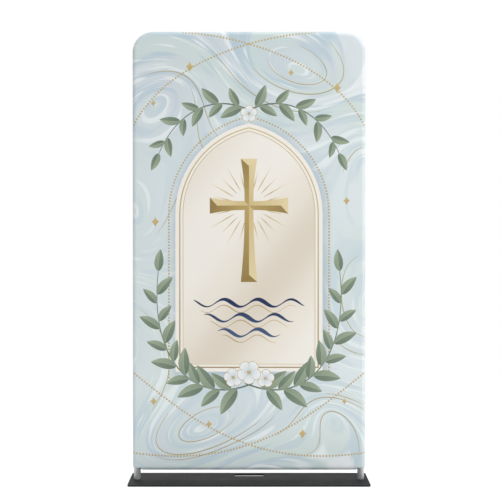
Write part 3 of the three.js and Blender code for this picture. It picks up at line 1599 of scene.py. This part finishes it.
@dataclass(frozen=True)
class LeafySpray:
    """A stem that curves along four knots, with leaves in pairs and one at its tip."""

    knots: Knots
    pairs: int
    first_leaf: float
    last_leaf: float
    spread: float = 0.78
    plump: float = 0.40
    stem_width: float = 0.0085
    stem_steps: int = 28
    stem_taper: float = 0.6
    first_share: float = 0.10
    leafy_share: float = 0.78
    pair_lag: float = 0.035
    swing: float = 0.06
    size_play: float = 0.10
    side_curl: float = 0.16
    tip_curl: float = 0.05
    tip_growth: float = 1.1

    def leaf_at(self, share: float, turn: float, length: float, lit_left: bool) -> Leaf:
        """Returns a leaf on the stem.

        Args:
            share: How far along the stem it grows.
            turn: Its angle to the stem, to the left if positive.
            length: The leaf's length.
            lit_left: Whether its left half is the lit one.

        Returns:
            The leaf.
        """
        foot = bezier(self.knots, share)
        ahead = bezier(self.knots, min(1.0, share + 0.01))
        behind = bezier(self.knots, max(0.0, share - 0.01))
        heading = math.atan2(ahead[1] - behind[1], ahead[0] - behind[0])
        curl = -self.side_curl * math.copysign(1.0, turn) if turn else self.tip_curl
        return Leaf(foot, heading + turn, length, length * self.plump, curl, lit_left)

    def motifs(self) -> list[Motif]:
        """Prints the spray from its foot to its tip.

        Returns:
            The stem and then its leaves.
        """
        steps = self.stem_steps
        route = [bezier(self.knots, i / steps) for i in range(steps + 1)]
        widths = [self.stem_width * (1 - self.stem_taper * i / steps) for i in range(steps + 1)]
        found = [Motif(stroke(route, widths), FlatInk(STEM))]
        for i in range(self.pairs):
            share = self.first_share + self.leafy_share * i / (self.pairs - 1)
            length = self.first_leaf + (self.last_leaf - self.first_leaf) * i / self.pairs
            swing = self.swing * math.sin(2.4 * i + 0.5)
            for sign, lag in ((1, 0.0), (-1, self.pair_lag)):
                size = length * (1 + self.size_play * math.sin(3.1 * i + sign))
                leaf = self.leaf_at(share + lag, sign * (self.spread + swing), size, sign < 0)
                found += leaf.motifs()
        found += self.leaf_at(1.0, 0.0, self.last_leaf * self.tip_growth, True).motifs()
        return found


@dataclass(frozen=True)
class Blossom:
    """A small five-petalled white blossom with a fine gold outline."""

    middle: Point
    radius: float
    turn: float
    petals: int = 5
    steps: int = 10
    line: float = 0.0022
    plump: float = 0.40
    blunt: float = 0.06
    foot: float = 0.08
    dent_from: float = 0.7
    dent: float = 0.07
    heart_rim: float = 0.15
    heart: float = 0.10
    dot_ring: float = 0.27
    dot_size: float = 0.032

    def petal(self, angle: float, grow: float) -> list[Point]:
        """Draws one petal.

        Args:
            angle: The way that it points.
            grow: A margin round it.

        Returns:
            Its outline.
        """
        outline: list[Point] = []
        for sign in (-1, 1):
            side = []
            for i in range(self.steps + 1):
                share = i / self.steps
                widest = self.plump * self.radius + grow
                way = min(1.0, self.blunt + (1 - self.blunt) * share)
                swell = math.sin(math.pi * way**1.5) ** 0.75
                half = widest * swell
                far = self.radius * self.foot + (self.radius * (1 - self.foot) + grow) * share
                if share > self.dent_from:
                    far -= self.dent * self.radius * (1 - abs(swell))
                side.append(polar(self.middle, angle, far, sign * half))
            outline += side[:-1] if sign < 0 else list(reversed(side))
        return outline

    def motifs(self) -> list[Motif]:
        """Prints the blossom.

        Returns:
            The petals, each on its gold outline, and the gold heart.
        """
        found: list[Motif] = []
        for i in range(self.petals):
            angle = self.turn + 2 * math.pi * i / self.petals
            tip = polar(self.middle, angle, self.radius)
            white = GradedInk(PETAL_SHADE, PETAL, self.middle, tip)
            found.append(Motif(self.petal(angle, self.line), FlatInk(GOLD)))
            found.append(Motif(self.petal(angle, 0.0), white))
        for size, gold in ((self.heart_rim, GOLD_DEEP), (self.heart, GOLD_LIGHT)):
            found.append(Motif(disc(self.middle, self.radius * size, 10), FlatInk(gold)))
        for i in range(2 * self.petals):
            angle = self.turn + math.pi * (i + 0.5) / self.petals
            dot = polar(self.middle, angle, self.radius * self.dot_ring)
            found.append(Motif(disc(dot, self.radius * self.dot_size, 6), FlatInk(GOLD)))
        return found


@dataclass(frozen=True)
class Sparkle:
    """A four-pointed gold star with hollow sides."""

    middle: Point
    size: float
    steps: int = 24
    narrow: float = 0.75
    hollow: int = 3

    def motifs(self) -> list[Motif]:
        """Prints the star, a little taller than it is wide.

        Returns:
            The star.
        """
        outline = []
        for i in range(self.steps):
            angle = 2 * math.pi * i / self.steps
            u = math.copysign(abs(math.cos(angle)) ** self.hollow, math.cos(angle))
            v = math.copysign(abs(math.sin(angle)) ** self.hollow, math.sin(angle))
            across = self.narrow * self.size * u
            outline.append((self.middle[0] + across, self.middle[1] + self.size * v))
        low = (self.middle[0], self.middle[1] - self.size)
        high = (self.middle[0], self.middle[1] + self.size)
        return [Motif(outline, GradedInk(GOLD, GOLD_LIGHT, low, high))]


@dataclass(frozen=True)
class PrintDesign:
    """The whole print over the marbled ground, from the lowest layer to the highest."""

    window: ChurchWindow = ChurchWindow()
    cross: RayedCross = RayedCross()
    water: WaterLines = WaterLines()
    marbling: Marbling = Marbling()
    climbing: Knots = ((0.02, 0.515), (-0.26, 0.39), (-0.53, 0.60), (-0.475, 1.10))
    crowning: Knots = ((0.015, 1.935), (-0.15, 2.03), (-0.36, 1.97), (-0.47, 1.72))
    upper_swag: Knots = ((-0.605, 1.86), (-0.44, 2.19), (0.02, 2.33), (0.36, 2.352))
    lower_swag: Knots = ((-0.605, 0.57), (-0.32, 0.34), (0.00, 0.06), (0.605, 0.15))
    bead_offset: float = 0.034
    swag_steps: int = 60
    sparkles: tuple[tuple[float, float, float], ...] = (
        (-0.31, 2.17, 0.030),
        (0.22, 2.14, 0.022),
        (0.46, 2.06, 0.032),
        (-0.50, 1.98, 0.020),
        (0.51, 1.47, 0.026),
        (-0.49, 1.36, 0.030),
        (-0.21, 0.30, 0.024),
        (0.28, 0.25, 0.030),
        (0.50, 0.42, 0.020),
        (-0.50, 0.42, 0.026),
    )

    def sprays(self) -> list[Motif]:
        """Prints two pairs of sprays, each drawn on the left and mirrored to the right.

        Returns:
            The sprays.
        """
        found: list[Motif] = []
        for knots, pairs, first, last in (
            (self.climbing, 8, 0.150, 0.108),
            (self.crowning, 5, 0.118, 0.092),
        ):
            mirrored = tuple((-u, v) for u, v in knots)
            found += LeafySpray(mirrored, pairs, first, last).motifs()
            found += LeafySpray(knots, pairs, first, last).motifs()
        return found

    def beads(self) -> list[Motif]:
        """Prints the beaded swags and their mirror images.

        Returns:
            The beads.
        """
        found: list[Motif] = []
        for knots in (self.upper_swag, self.lower_swag):
            for sign in (1, -1):
                line = [bezier(knots, i / self.swag_steps) for i in range(self.swag_steps + 1)]
                found += BeadedLine(tuple((sign * u, v) for u, v in line)).motifs()
        return found

    def motifs(self) -> list[Motif]:
        """Prints everything over the ground.

        Returns:
            Every printed shape, in the order in which it is laid down.
        """
        found = Hairlines(self.marbling).motifs()
        found += self.beads()
        found += self.window.motifs()
        found += BeadedLine(tuple(self.window.outline(-self.bead_offset))).motifs()
        found += self.cross.motifs()
        found += self.water.motifs()
        found += self.sprays()
        for u, v, size in self.sparkles:
            found += Sparkle((u, v), size).motifs()
        for middle, radius, turn in (
            ((-0.083, 0.545), 0.052, 0.5),
            ((0.086, 0.540), 0.050, 0.2),
            ((0.0, 0.572), 0.066, 0.95),
            ((0.0, 1.925), 0.046, 0.3),
        ):
            found += Blossom(middle, radius, turn).motifs()
        return found


# ---------------- modelling helpers
def take(piece: Object) -> None:
    """Makes one piece the only selected and the active one.

    Args:
        piece: The piece.
    """
    bpy.ops.object.select_all(action="DESELECT")
    piece.select_set(True)
    bpy.context.view_layer.objects.active = piece


def settle(piece: Object, name: str) -> Object:
    """Applies a piece's modifiers and its place, so that its object sits at the origin.

    Args:
        piece: The piece.
        name: Its new name.

    Returns:
        The same piece.
    """
    take(piece)
    for modifier in list(piece.modifiers):
        bpy.ops.object.modifier_apply(modifier=modifier.name)
    bpy.ops.object.transform_apply(location=True, rotation=True, scale=True)
    piece.name = name
    piece.data.name = name
    return piece


def add_mesh(name: str, mesh: Mesh) -> Object:
    """Puts a mesh into the scene.

    Args:
        name: The object's name.
        mesh: Its mesh.

    Returns:
        The object.
    """
    piece = bpy.data.objects.new(name, mesh)
    bpy.context.scene.collection.objects.link(piece)
    return piece


def dress(piece: Object, material: Material, slot: str, replaced: Sequence[str] = ()) -> None:
    """Gives a piece its finish and its body, hides the CAD nodes that it stands for, and reports it with
    its slot.

    Args:
        piece: The piece.
        material: Its only material.
        slot: The record's slot for its finish, which is only reported.
        replaced: The CAD nodes that it stands for.
    """
    piece.data.materials.clear()
    piece.data.materials.append(material)
    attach(piece, BODY)
    if replaced:
        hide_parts(*replaced)
    log.info("%s: %d faces, slot %s", piece.name, len(piece.data.polygons), slot)


def copied(stamp: Mesh, places: Sequence[Matrix], name: str) -> Object:
    """Copies a small mesh to many places and joins the copies.

    Args:
        stamp: The mesh that is copied.
        places: Where each copy goes.
        name: The joined piece's name.

    Returns:
        The joined piece.
    """
    joined = bmesh.new()
    for place in places:
        first = len(joined.verts)
        joined.from_mesh(stamp)
        joined.verts.ensure_lookup_table()
        bmesh.ops.transform(joined, matrix=place, verts=joined.verts[first:])
    mesh = bpy.data.meshes.new(name)
    joined.to_mesh(mesh)
    joined.free()
    return add_mesh(name, mesh)


# ---------------- sleeve
@dataclass(frozen=True)
class SheetPatch:
    """One triangulated layer of flat cloth."""

    points: list[Point]
    triangles: list[tuple[int, int, int]]
    stacks: list[tuple[int, ...]]
    edge: list[int]


@dataclass
class SleevePanel:
    """One panel of the sleeve: its outer and inner surfaces and the edge that joins them."""

    name: str
    side: Side
    form: SleeveForm
    motifs: list[Motif] = field(default_factory=list)
    thickness: float = 0.0014
    spacing: float = 0.014
    rim_rows: int = 8
    inner_spacing: float = 0.045
    inner_rim_rows: int = 3
    corner_rays: int = 4
    bend_steps: int = 12
    edge_spacing: float = 0.012
    sliver: float = 0.0012
    outer_band: tuple[float, float] = (0.0, 0.93)
    inner_band: tuple[float, float] = (0.94, 0.03)
    wall_band: tuple[float, float] = (0.975, 0.995)

    def seeds(self, spacing: float, rows: int) -> list[Point]:
        """Returns points in rows along the rim and in a grid over the face.

        Args:
            spacing: The distance between points.
            rows: How many rows the rim has.

        Returns:
            The points.
        """
        form = self.form
        found: list[Point] = []
        for row in range(rows + 1):
            past = form.turn * row / rows
            rays = self.corner_rays
            right = [form.about_corner(math.pi / 2 * i / rays, past) for i in range(rays)]
            right += form.half_outline(past, self.bend_steps)
            loop = [*right, *[(-u, v) for u, v in reversed(right)][1:]]
            ring = divided(loop, spacing, closed=True)
            found += [p for p in ring if form.holds(*p) and not self.by_notch(*p)]
        step_v = spacing * math.sqrt(3) / 2
        row = 0
        v = form.face_bottom + step_v * 0.6
        while v < form.face_top - step_v * 0.4:
            u = -form.face_half + spacing * (0.75 if row % 2 else 0.25)
            while u < form.face_half:
                if form.rim(u, v)[4] < -0.4 * spacing:
                    found.append((u, v))
                u += spacing
            v += step_v
            row += 1
        return found

    def by_notch(self, u: float, v: float) -> bool:
        """Tells whether a point lies so near a notch's edge that it would make a sliver.

        Args:
            u: Place across the flat cloth.
            v: Place up the flat cloth.

        Returns:
            Whether it does.
        """
        form = self.form
        margin = self.sliver
        if v > form.face_bottom or abs(u) < form.hem_half - margin:
            return False
        spots = ((u + margin, v), (u - margin, v), (u, v + margin), (u, v - margin))
        return not all(form.holds(*spot) for spot in spots)

    def patch(self, seeds: list[Point], motifs: Sequence[Motif]) -> SheetPatch:
        """Triangulates flat cloth inside its outline, along every printed shape.

        Args:
            seeds: Points inside the outline.
            motifs: The printed shapes.

        Returns:
            The layer, without what lies in the leg notches: only the first loop's inside is cloth.
        """
        outline = self.form.outline(self.edge_spacing)
        points = [*outline, *seeds]
        loops = [list(range(len(outline)))]
        for motif in motifs:
            first = len(points)
            points += motif.outline
            loop = list(range(first, len(points)))
            loops.append(loop if signed_area(motif.outline) > 0 else loop[::-1])
        flat = [Vector(p) for p in points]
        made = delaunay_2d_cdt(flat, [], loops, 1, 1e-5, True)
        spots, _, faces, from_points, _, from_loops = made
        home = {source: i for i, sources in enumerate(from_points) for source in sources}
        cloth = [(face, inside) for face, inside in zip(faces, from_loops) if 0 in inside]
        return SheetPatch(
            [(p[0], p[1]) for p in spots],
            [tuple(face) for face, _ in cloth],
            [tuple(sorted(loop - 1 for loop in inside if loop > 0)) for _, inside in cloth],
            [home[i] for i in range(len(outline))],
        )

    def normal(self, u: float, v: float, inset: float) -> Vector:
        """Finds the cloth's outer direction.

        Args:
            u: Place across the flat cloth.
            v: Place up the flat cloth.
            inset: How far under the outer surface it lies.

        Returns:
            The direction.
        """
        step = 0.0003
        form = self.form
        run_u = form.place(u + step, v, self.side, inset) - form.place(u - step, v, self.side, inset)
        run_v = form.place(u, v + step, self.side, inset) - form.place(u, v - step, self.side, inset)
        return (run_u.cross(run_v) * -self.side.value).normalized()

    def ink(self, stack: tuple[int, ...], u: float, v: float) -> Ink:
        """Lays inks over each other at one place.

        Args:
            stack: The printed shapes there, the lowest first.
            u: Place across the flat cloth.
            v: Place up the flat cloth.

        Returns:
            What shows.
        """
        below: Ink = (0.0, 0.0, 0.0, 0.0)
        for index in stack:
            top = self.motifs[index].ink.at(u, v)
            cover = top[3] + below[3] * (1 - top[3])
            if cover <= 0:
                below = (*top[:3], 0.0)
                continue
            mixed = [(a * top[3] + b * below[3] * (1 - top[3])) / cover for a, b in zip(top, below)]
            below = (mixed[0], mixed[1], mixed[2], cover)
        return below

    def mesh(self) -> Mesh:
        """Joins the outer and inner layers at the cut edge.

        Returns:
            The panel's closed mesh, with its two UV maps and its inks.
        """
        outer = self.patch(self.seeds(self.spacing, self.rim_rows), self.motifs)
        inner = self.patch(self.seeds(self.inner_spacing, self.inner_rim_rows), ())
        count = len(outer.points)
        spots = [self.form.place(u, v, self.side) for u, v in outer.points]
        spots += [self.form.place(u, v, self.side, self.thickness) for u, v in inner.points]
        normals = [self.normal(u, v, 0.0) for u, v in outer.points]
        normals += [-self.normal(u, v, self.thickness) for u, v in inner.points]

        half = self.form.half_width + self.form.depth
        low = self.form.bottom - self.form.depth
        high = self.form.top + self.form.depth

        def spread(u: float, v: float, floor: float, tall: float) -> Point:
            """Returns where a place of the flat cloth lies in a band of the bake map."""
            return ((u + half) / (2 * half), floor + tall * (v - low) / (high - low))

        faces: list[tuple[int, ...]] = []
        flat_uv: list[float] = []
        bake_uv: list[float] = []
        inks: list[float] = []
        forward = self.side is Side.FRONT
        for triangle, stack in zip(outer.triangles, outer.stacks):
            order = triangle if forward else triangle[::-1]
            faces.append(order)
            for corner in order:
                u, v = outer.points[corner]
                flat_uv += (u, v)
                bake_uv += spread(u, v, *self.outer_band)
                inks += self.ink(stack, u, v)
        for triangle in inner.triangles:
            order = triangle[::-1] if forward else triangle
            faces.append(tuple(count + corner for corner in order))
            for corner in order:
                u, v = inner.points[corner]
                flat_uv += (u, v)
                bake_uv += spread(u, v, *self.inner_band)
                inks += (0.0, 0.0, 0.0, 0.0)
        steps = len(outer.edge)
        for i in range(steps):
            j = (i + 1) % steps
            wall = [
                (outer.edge[i], outer.points, i, self.wall_band[0]),
                (count + inner.edge[i], inner.points, i, self.wall_band[1]),
                (count + inner.edge[j], inner.points, i + 1, self.wall_band[1]),
                (outer.edge[j], outer.points, i + 1, self.wall_band[0]),
            ]
            if not forward:
                wall.reverse()
            faces.append(tuple(corner[0] for corner in wall))
            for corner, points, place, height in wall:
                flat_uv += points[corner if points is outer.points else corner - count]
                bake_uv += (place / steps, height)
                inks += (0.0, 0.0, 0.0, 0.0)

        mesh = bpy.data.meshes.new(self.name)
        mesh.from_pydata(spots, [], faces)
        for label, values in ((FLAT_MAP, flat_uv), (BAKE_MAP, bake_uv)):
            mesh.uv_layers.new(name=label).data.foreach_set("uv", values)
        mesh.uv_layers[FLAT_MAP].active_render = True
        mesh.uv_layers.active = mesh.uv_layers[FLAT_MAP]
        layer = mesh.color_attributes.new(name=INK_LAYER, type="FLOAT_COLOR", domain="CORNER")
        layer.data.foreach_set("color", inks)
        mesh.polygons.foreach_set("use_smooth", [True] * len(faces))
        mesh.validate()
        mesh.normals_split_custom_set_from_vertices(normals)
        return mesh

    def flat_area(self) -> float:
        """Returns the area of the cut cloth."""
        return signed_area(self.form.outline(self.edge_spacing))

    def build(self, material: Material, slot: str, node: str) -> Object:
        """Args:
            material: Its cloth.
            slot: The record's slot.
            node: The CAD node that it stands for.

        Returns:
            The panel's object.
        """
        piece = add_mesh(self.name, self.mesh())
        dress(piece, material, slot, [node])
        self.flat_area()
        return piece


@dataclass
class SeamThread:
    """The sewing that shows: a flat seam between the panels and topstitching at the leg slots."""

    form: SleeveForm
    thread: float = 0.00055
    seam_pitch: float = 0.004
    seam_cross: float = 0.0056
    seam_lean: float = 0.42
    row_pitch: float = 0.0034
    row_stitch: float = 0.0026
    row_inset: float = 0.0042
    row_foot: float = 0.96
    row_sweep: float = 0.62
    row_steps: int = 8
    corner_steps: int = 24
    hem_margin: float = 0.003
    proud: float = 0.00008
    dip: float = 0.72
    sides: int = 6

    def stitch(self, length: float) -> Mesh:
        """Models one stitch along X: a short thread that dips in at both ends.

        Args:
            length: The stitch's length.

        Returns:
            Its mesh.
        """
        bpy.ops.mesh.primitive_cylinder_add(
            vertices=self.sides,
            radius=self.thread / 2,
            depth=length,
            end_fill_type="TRIFAN",
            rotation=(0.0, math.pi / 2, 0.0),
        )
        piece = bpy.context.object
        bpy.ops.object.transform_apply(rotation=True)
        for vertex in piece.data.vertices:
            end = abs(vertex.co.x) > length / 2 - 1e-5
            middle = math.hypot(vertex.co.y, vertex.co.z) < 1e-6
            if end and not middle:
                vertex.co.x *= self.dip
        bpy.ops.object.shade_smooth()
        mesh = piece.data
        bpy.data.objects.remove(piece)
        return mesh

    def seam_places(self) -> list[Matrix]:
        """Lays out the stitches of the side, top and hem seams.

        Returns:
            Where each stitch lies.
        """
        form = self.form
        far = form.reach + self.proud
        right = form.half_outline(far, self.corner_steps)
        over = [*right, *[(-u, v) for u, v in reversed(right)][1:]]
        hem_end = form.hem_half - self.hem_margin
        under = [(-hem_end, form.face_bottom - far), (hem_end, form.face_bottom - far)]
        found: list[Matrix] = []
        for route in (over, under):
            for i, (spot, along) in enumerate(spaced(route, self.seam_pitch)):
                lean = self.seam_lean if i % 2 else -self.seam_lean
                forward = Vector((along[0], 0.0, along[1]))
                across = (Vector((0.0, 1.0, 0.0)) + forward * lean).normalized()
                out = across.cross(forward).normalized()
                found.append(frame_at(Vector((spot[0], 0.0, spot[1])), across, out))
        return found

    def row_places(self) -> list[Matrix]:
        """Lays out the topstitching above the leg slots, on both panels.

        Returns:
            Where each stitch lies.
        """
        form = self.form
        drop = form.turn * math.asin(form.notch_share) / (math.pi / 2) - self.row_inset
        steps = self.row_steps
        inner = form.hem_half - self.row_inset
        right = [(inner, form.face_bottom - form.turn * self.row_foot)]
        right.append((inner, form.face_bottom - drop))
        for i in range(steps + 1):
            right.append(form.about_corner(math.pi / 2 * i / steps * self.row_sweep, drop))
        found: list[Matrix] = []
        near = 1e-4
        for mirror in (1, -1):
            for side in Side:
                for (u, v), (run_u, run_v) in spaced(right, self.row_pitch):
                    here = form.place(u * mirror, v, side)
                    ahead = form.place((u + run_u * near) * mirror, v + run_v * near, side)
                    beside = form.place((u - run_v * near) * mirror, v + run_u * near, side)
                    out = (ahead - here).cross(beside - here).normalized()
                    if out.y * side.value < 0:
                        out = -out
                    found.append(frame_at(here + out * self.proud, (ahead - here).normalized(), out))
        return found

    def build(self, material: Material) -> list[Object]:
        """Makes and dresses the seam and the topstitching.

        Args:
            material: The thread.

        Returns:
            The two pieces.
        """
        seam = copied(self.stitch(self.seam_cross), self.seam_places(), "seam_stitches")
        rows = copied(self.stitch(self.row_stitch), self.row_places(), "leg_slot_stitches")
        for piece in (seam, rows):
            dress(piece, material, "printed_cloth")
        return [seam, rows]


def frame_at(spot: Vector, along: Vector, out: Vector) -> Matrix:
    """Turns and places something.

    Args:
        spot: Where it goes.
        along: Where its X points.
        out: Where its Z points.

    Returns:
        The matrix.
    """
    aside = out.cross(along).normalized()
    turn = Matrix((along, aside, out)).transposed()
    return Matrix.Translation(spot) @ turn.to_4x4()


# ---------------- frame and plate
@dataclass
class Upright:
    """One of the two tubes that stand on the plate and carry the sleeve."""

    node: str
    wall: float = 0.0015
    sides: int = 64
    chamfer: float = 0.0004
    sharp_angle: float = math.radians(50)
    smooth_angle: float = math.radians(35)

    def build(self, material: Material) -> Object:
        """Models the tube with its bore and its softened rims.

        Args:
            material: The metal.

        Returns:
            The tube.
        """
        low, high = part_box(self.node)
        bpy.ops.mesh.primitive_cylinder_add(
            vertices=self.sides,
            radius=(high.x - low.x) / 2,
            depth=high.z - low.z,
            end_fill_type="NOTHING",
            location=(low + high) / 2,
            calc_uvs=False,
        )
        piece = bpy.context.object
        wall = piece.modifiers.new("wall", "SOLIDIFY")
        wall.thickness = self.wall
        wall.offset = -1.0
        rims = piece.modifiers.new("rims", "BEVEL")
        rims.width = self.chamfer
        rims.segments = 2
        rims.limit_method = "ANGLE"
        rims.angle_limit = self.sharp_angle
        settle(piece, self.node + "_tube")
        bpy.ops.object.shade_smooth_by_angle(angle=self.smooth_angle)
        dress(piece, material, "frame_tube", [self.node])
        return piece


@dataclass
class BasePlate:
    """The steel plate with round corners and a hand hold near its back edge."""

    corner: float = 0.015
    corner_steps: int = 12
    hold_length: float = 0.160
    hold_width: float = 0.045
    hold_corner: float = 0.010
    hold_middle: float = 0.0945
    edge: float = 0.0010
    edge_steps: int = 3
    sharp_angle: float = math.radians(60)
    flat_weight: int = 100
    rubbed_from: float = 0.00003
    rubbed_to: float = 0.00097

    def rounded_block(self, middle: Vector, size: Vector, corner: float) -> Object:
        """Models a block with its four upright edges rounded.

        Args:
            middle: The block's middle.
            size: Its three sides.
            corner: The radius of its upright edges.

        Returns:
            The block.
        """
        bpy.ops.mesh.primitive_cube_add(size=1.0, location=middle, calc_uvs=False)
        piece = bpy.context.object
        piece.scale = size
        bpy.ops.object.transform_apply(location=False, rotation=False, scale=True)
        bpy.ops.object.mode_set(mode="EDIT")
        bpy.ops.mesh.select_mode(type="EDGE")
        bpy.ops.mesh.select_all(action="DESELECT")
        bpy.ops.object.mode_set(mode="OBJECT")
        for edge in piece.data.edges:
            first, second = (piece.data.vertices[i].co for i in edge.vertices)
            edge.select = abs(first.z - second.z) > size.z / 2
        bpy.ops.object.mode_set(mode="EDIT")
        bpy.ops.mesh.bevel(offset=corner, segments=self.corner_steps)
        bpy.ops.object.mode_set(mode="OBJECT")
        return piece

    def build(self, material: Material) -> Object:
        """Models the plate, cuts the hand hold, softens every edge and marks where it is rubbed.

        Args:
            material: The coat.

        Returns:
            The plate.
        """
        low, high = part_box("base_plate")
        plate = self.rounded_block((low + high) / 2, high - low, self.corner)
        tall = high.z - low.z
        cutter = self.rounded_block(
            Vector((0.0, self.hold_middle, low.z + tall / 2)),
            Vector((self.hold_length, self.hold_width, tall * 3)),
            self.hold_corner,
        )
        hold = plate.modifiers.new("hand_hold", "BOOLEAN")
        hold.operation = "DIFFERENCE"
        hold.object = cutter
        soft = plate.modifiers.new("edges", "BEVEL")
        soft.width = self.edge
        soft.segments = self.edge_steps
        soft.limit_method = "ANGLE"
        soft.angle_limit = self.sharp_angle
        settle(plate, "steel_base")
        bpy.data.objects.remove(cutter)
        bpy.ops.object.shade_smooth()
        flat = plate.modifiers.new("flat_faces", "WEIGHTED_NORMAL")
        flat.weight = self.flat_weight
        bpy.ops.object.modifier_apply(modifier=flat.name)
        worn = plate.data.attributes.new(WEAR_LAYER, "FLOAT", "POINT")
        marks = []
        for vertex in plate.data.vertices:
            inwards = min(high.z - vertex.co.z, vertex.co.z - low.z)
            marks.append(1.0 if self.rubbed_from < inwards < self.rubbed_to else 0.0)
        worn.data.foreach_set("value", marks)
        dress(plate, material, "base_plate", ["base_plate"])
        return plate


# ---------------- studio
@dataclass(frozen=True)
class SoftLight:
    """One soft box that faces a point."""

    name: str
    place: tuple[float, float, float]
    aim: tuple[float, float, float]
    size: float
    power: float
    warmth: Colour = (1.0, 1.0, 1.0)

    def build(self) -> None:
        """Adds the light."""
        lamp = bpy.data.lights.new(self.name, "AREA")
        lamp.shape = "DISK"
        lamp.size = self.size
        lamp.energy = self.power
        lamp.color = self.warmth
        thing = bpy.data.objects.new(self.name, lamp)
        thing.location = self.place
        way = Vector(self.aim) - Vector(self.place)
        thing.rotation_euler = way.to_track_quat("-Z", "Y").to_euler()
        bpy.context.scene.collection.objects.link(thing)


@dataclass(frozen=True)
class PaleFloor:
    """A plain pale floor that fades out into the white round it."""

    half_side: float = 8.0
    solid: float = 1.0
    faded: float = 2.6
    sunk: float = 0.0002
    colour: Colour = (0.88, 0.88, 0.88)
    seen_lift: float = 0.30

    def material(self) -> Material:
        """Makes the floor's finish.

        Returns:
            The finished material.
        """
        material = bpy.data.materials.new("studio_floor")
        material.use_nodes = True
        material.node_tree.nodes.clear()
        graph = Graph(material.node_tree)
        x, y, _ = graph.split(graph.object_place())
        square = graph.math("MULTIPLY_ADD", x, x, graph.math("MULTIPLY", y, y))
        far = graph.math("SQRT", square)
        fade = graph.smooth(far, self.solid, self.faded)
        matt = graph.add("ShaderNodeBsdfDiffuse")
        graph.feed(matt.inputs["Color"], self.colour)
        lift = graph.add("ShaderNodeEmission")
        seen = graph.add("ShaderNodeLightPath").outputs["Is Camera Ray"]
        graph.feed(lift.inputs["Strength"], graph.math("MULTIPLY", seen, self.seen_lift))
        lifted = graph.add("ShaderNodeAddShader")
        graph.feed(lifted.inputs[0], matt.outputs[0])
        graph.feed(lifted.inputs[1], lift.outputs[0])
        gone = graph.add("ShaderNodeBsdfTransparent")
        both = graph.add("ShaderNodeMixShader")
        graph.feed(both.inputs[0], fade)
        graph.feed(both.inputs[1], lifted.outputs[0])
        graph.feed(both.inputs[2], gone.outputs[0])
        output = graph.add("ShaderNodeOutputMaterial")
        graph.feed(output.inputs["Surface"], both.outputs[0])
        return material

    def build(self) -> None:
        """Lays the floor."""
        middle = (0.0, 0.0, -self.sunk)
        bpy.ops.mesh.primitive_plane_add(size=2 * self.half_side, location=middle)
        piece = bpy.context.object
        piece.name = "studio_floor"
        piece.data.materials.append(self.material())


@dataclass(frozen=True)
class Studio:
    """Camera, soft light and white surroundings."""

    eye: tuple[float, float, float] = (0.0, -6.33, 1.40)
    tilt_down: float = math.radians(0.6)
    lens: float = 86.85
    shift: tuple[float, float] = (0.0020, -0.0464)
    ambient: float = 0.52
    floor: PaleFloor = PaleFloor()
    lights: tuple[SoftLight, ...] = (
        SoftLight("key_light", (4.0, -6.0, 4.2), (0.0, 0.0, 1.2), 2.6, 160.0),
        SoftLight("fill_light", (-3.4, -6.0, 2.4), (0.0, 0.0, 1.2), 2.6, 46.0),
        SoftLight("side_light", (3.6, -0.4, 1.6), (0.0, 0.0, 1.1), 1.8, 34.0),
        SoftLight("top_light", (0.4, -0.4, 5.2), (0.0, 0.0, 2.0), 2.2, 48.0),
        SoftLight("back_light", (-1.2, 3.6, 5.8), (0.0, 0.0, 1.2), 2.6, 110.0),
    )

    def surroundings(self) -> None:
        """Makes the world: white to the eye and softer as light."""
        world = bpy.data.worlds.new("white_room")
        bpy.context.scene.world = world
        world.use_nodes = True
        world.node_tree.nodes.clear()
        graph = Graph(world.node_tree)
        seen = graph.add("ShaderNodeLightPath").outputs["Is Camera Ray"]
        level = graph.math("MULTIPLY_ADD", seen, 1.0 - self.ambient, self.ambient)
        light = graph.add("ShaderNodeBackground")
        graph.feed(light.inputs["Strength"], level)
        light.inputs["Color"].default_value = (1.0, 1.0, 1.0, 1.0)
        output = graph.add("ShaderNodeOutputWorld")
        graph.feed(output.inputs["Surface"], light.outputs[0])

    def camera(self) -> None:
        """Sets the nearly level camera in front of the cloth."""
        lens = bpy.data.cameras.new("front_camera")
        lens.lens = self.lens
        lens.sensor_width = 36.0
        lens.shift_x, lens.shift_y = self.shift
        thing = bpy.data.objects.new("front_camera", lens)
        thing.location = self.eye
        thing.rotation_euler = (math.pi / 2 - self.tilt_down, 0.0, 0.0)
        bpy.context.scene.collection.objects.link(thing)
        bpy.context.scene.camera = thing

    def build(self) -> None:
        """Sets up everything round the object."""
        bpy.context.scene.view_settings.view_transform = "Standard"
        self.surroundings()
        self.camera()
        self.floor.build()
        for light in self.lights:
            light.build()


# ---------------- the banner
@dataclass
class ChurchBanner:
    """The whole object: the sleeve, its sewing, the tube frame and the plate."""

    form: SleeveForm
    design: PrintDesign = PrintDesign()
    hidden_tubes: tuple[str, ...] = ("top_bar", "bottom_bar", "left_corner", "right_corner")

    def build(self) -> None:
        """Builds every piece in order."""
        metal = SatinTube().build()
        for name in self.hidden_tubes:
            tube = bpy.data.objects[name]
            tube.data.materials.clear()
            tube.data.materials.append(metal)
        for node in ("left_upright", "right_upright"):
            Upright(node).build(metal)
        BasePlate().build(PowderCoat().build())
        printed = PrintedCloth().build()
        front = SleevePanel("printed_front", Side.FRONT, self.form, self.design.motifs())
        front.build(printed, "printed_cloth", "front_panel")
        back = SleevePanel("plain_back", Side.BACK, self.form, spacing=0.022)
        back.build(PlainCloth().build(), "plain_cloth", "back_panel")
        SeamThread(self.form).build(Thread().build())


def main() -> None:
    """Builds the banner and its studio."""
    ChurchBanner(SleeveForm.from_frame()).build()
    Studio().build()


if __name__ == "__main__":
    main()
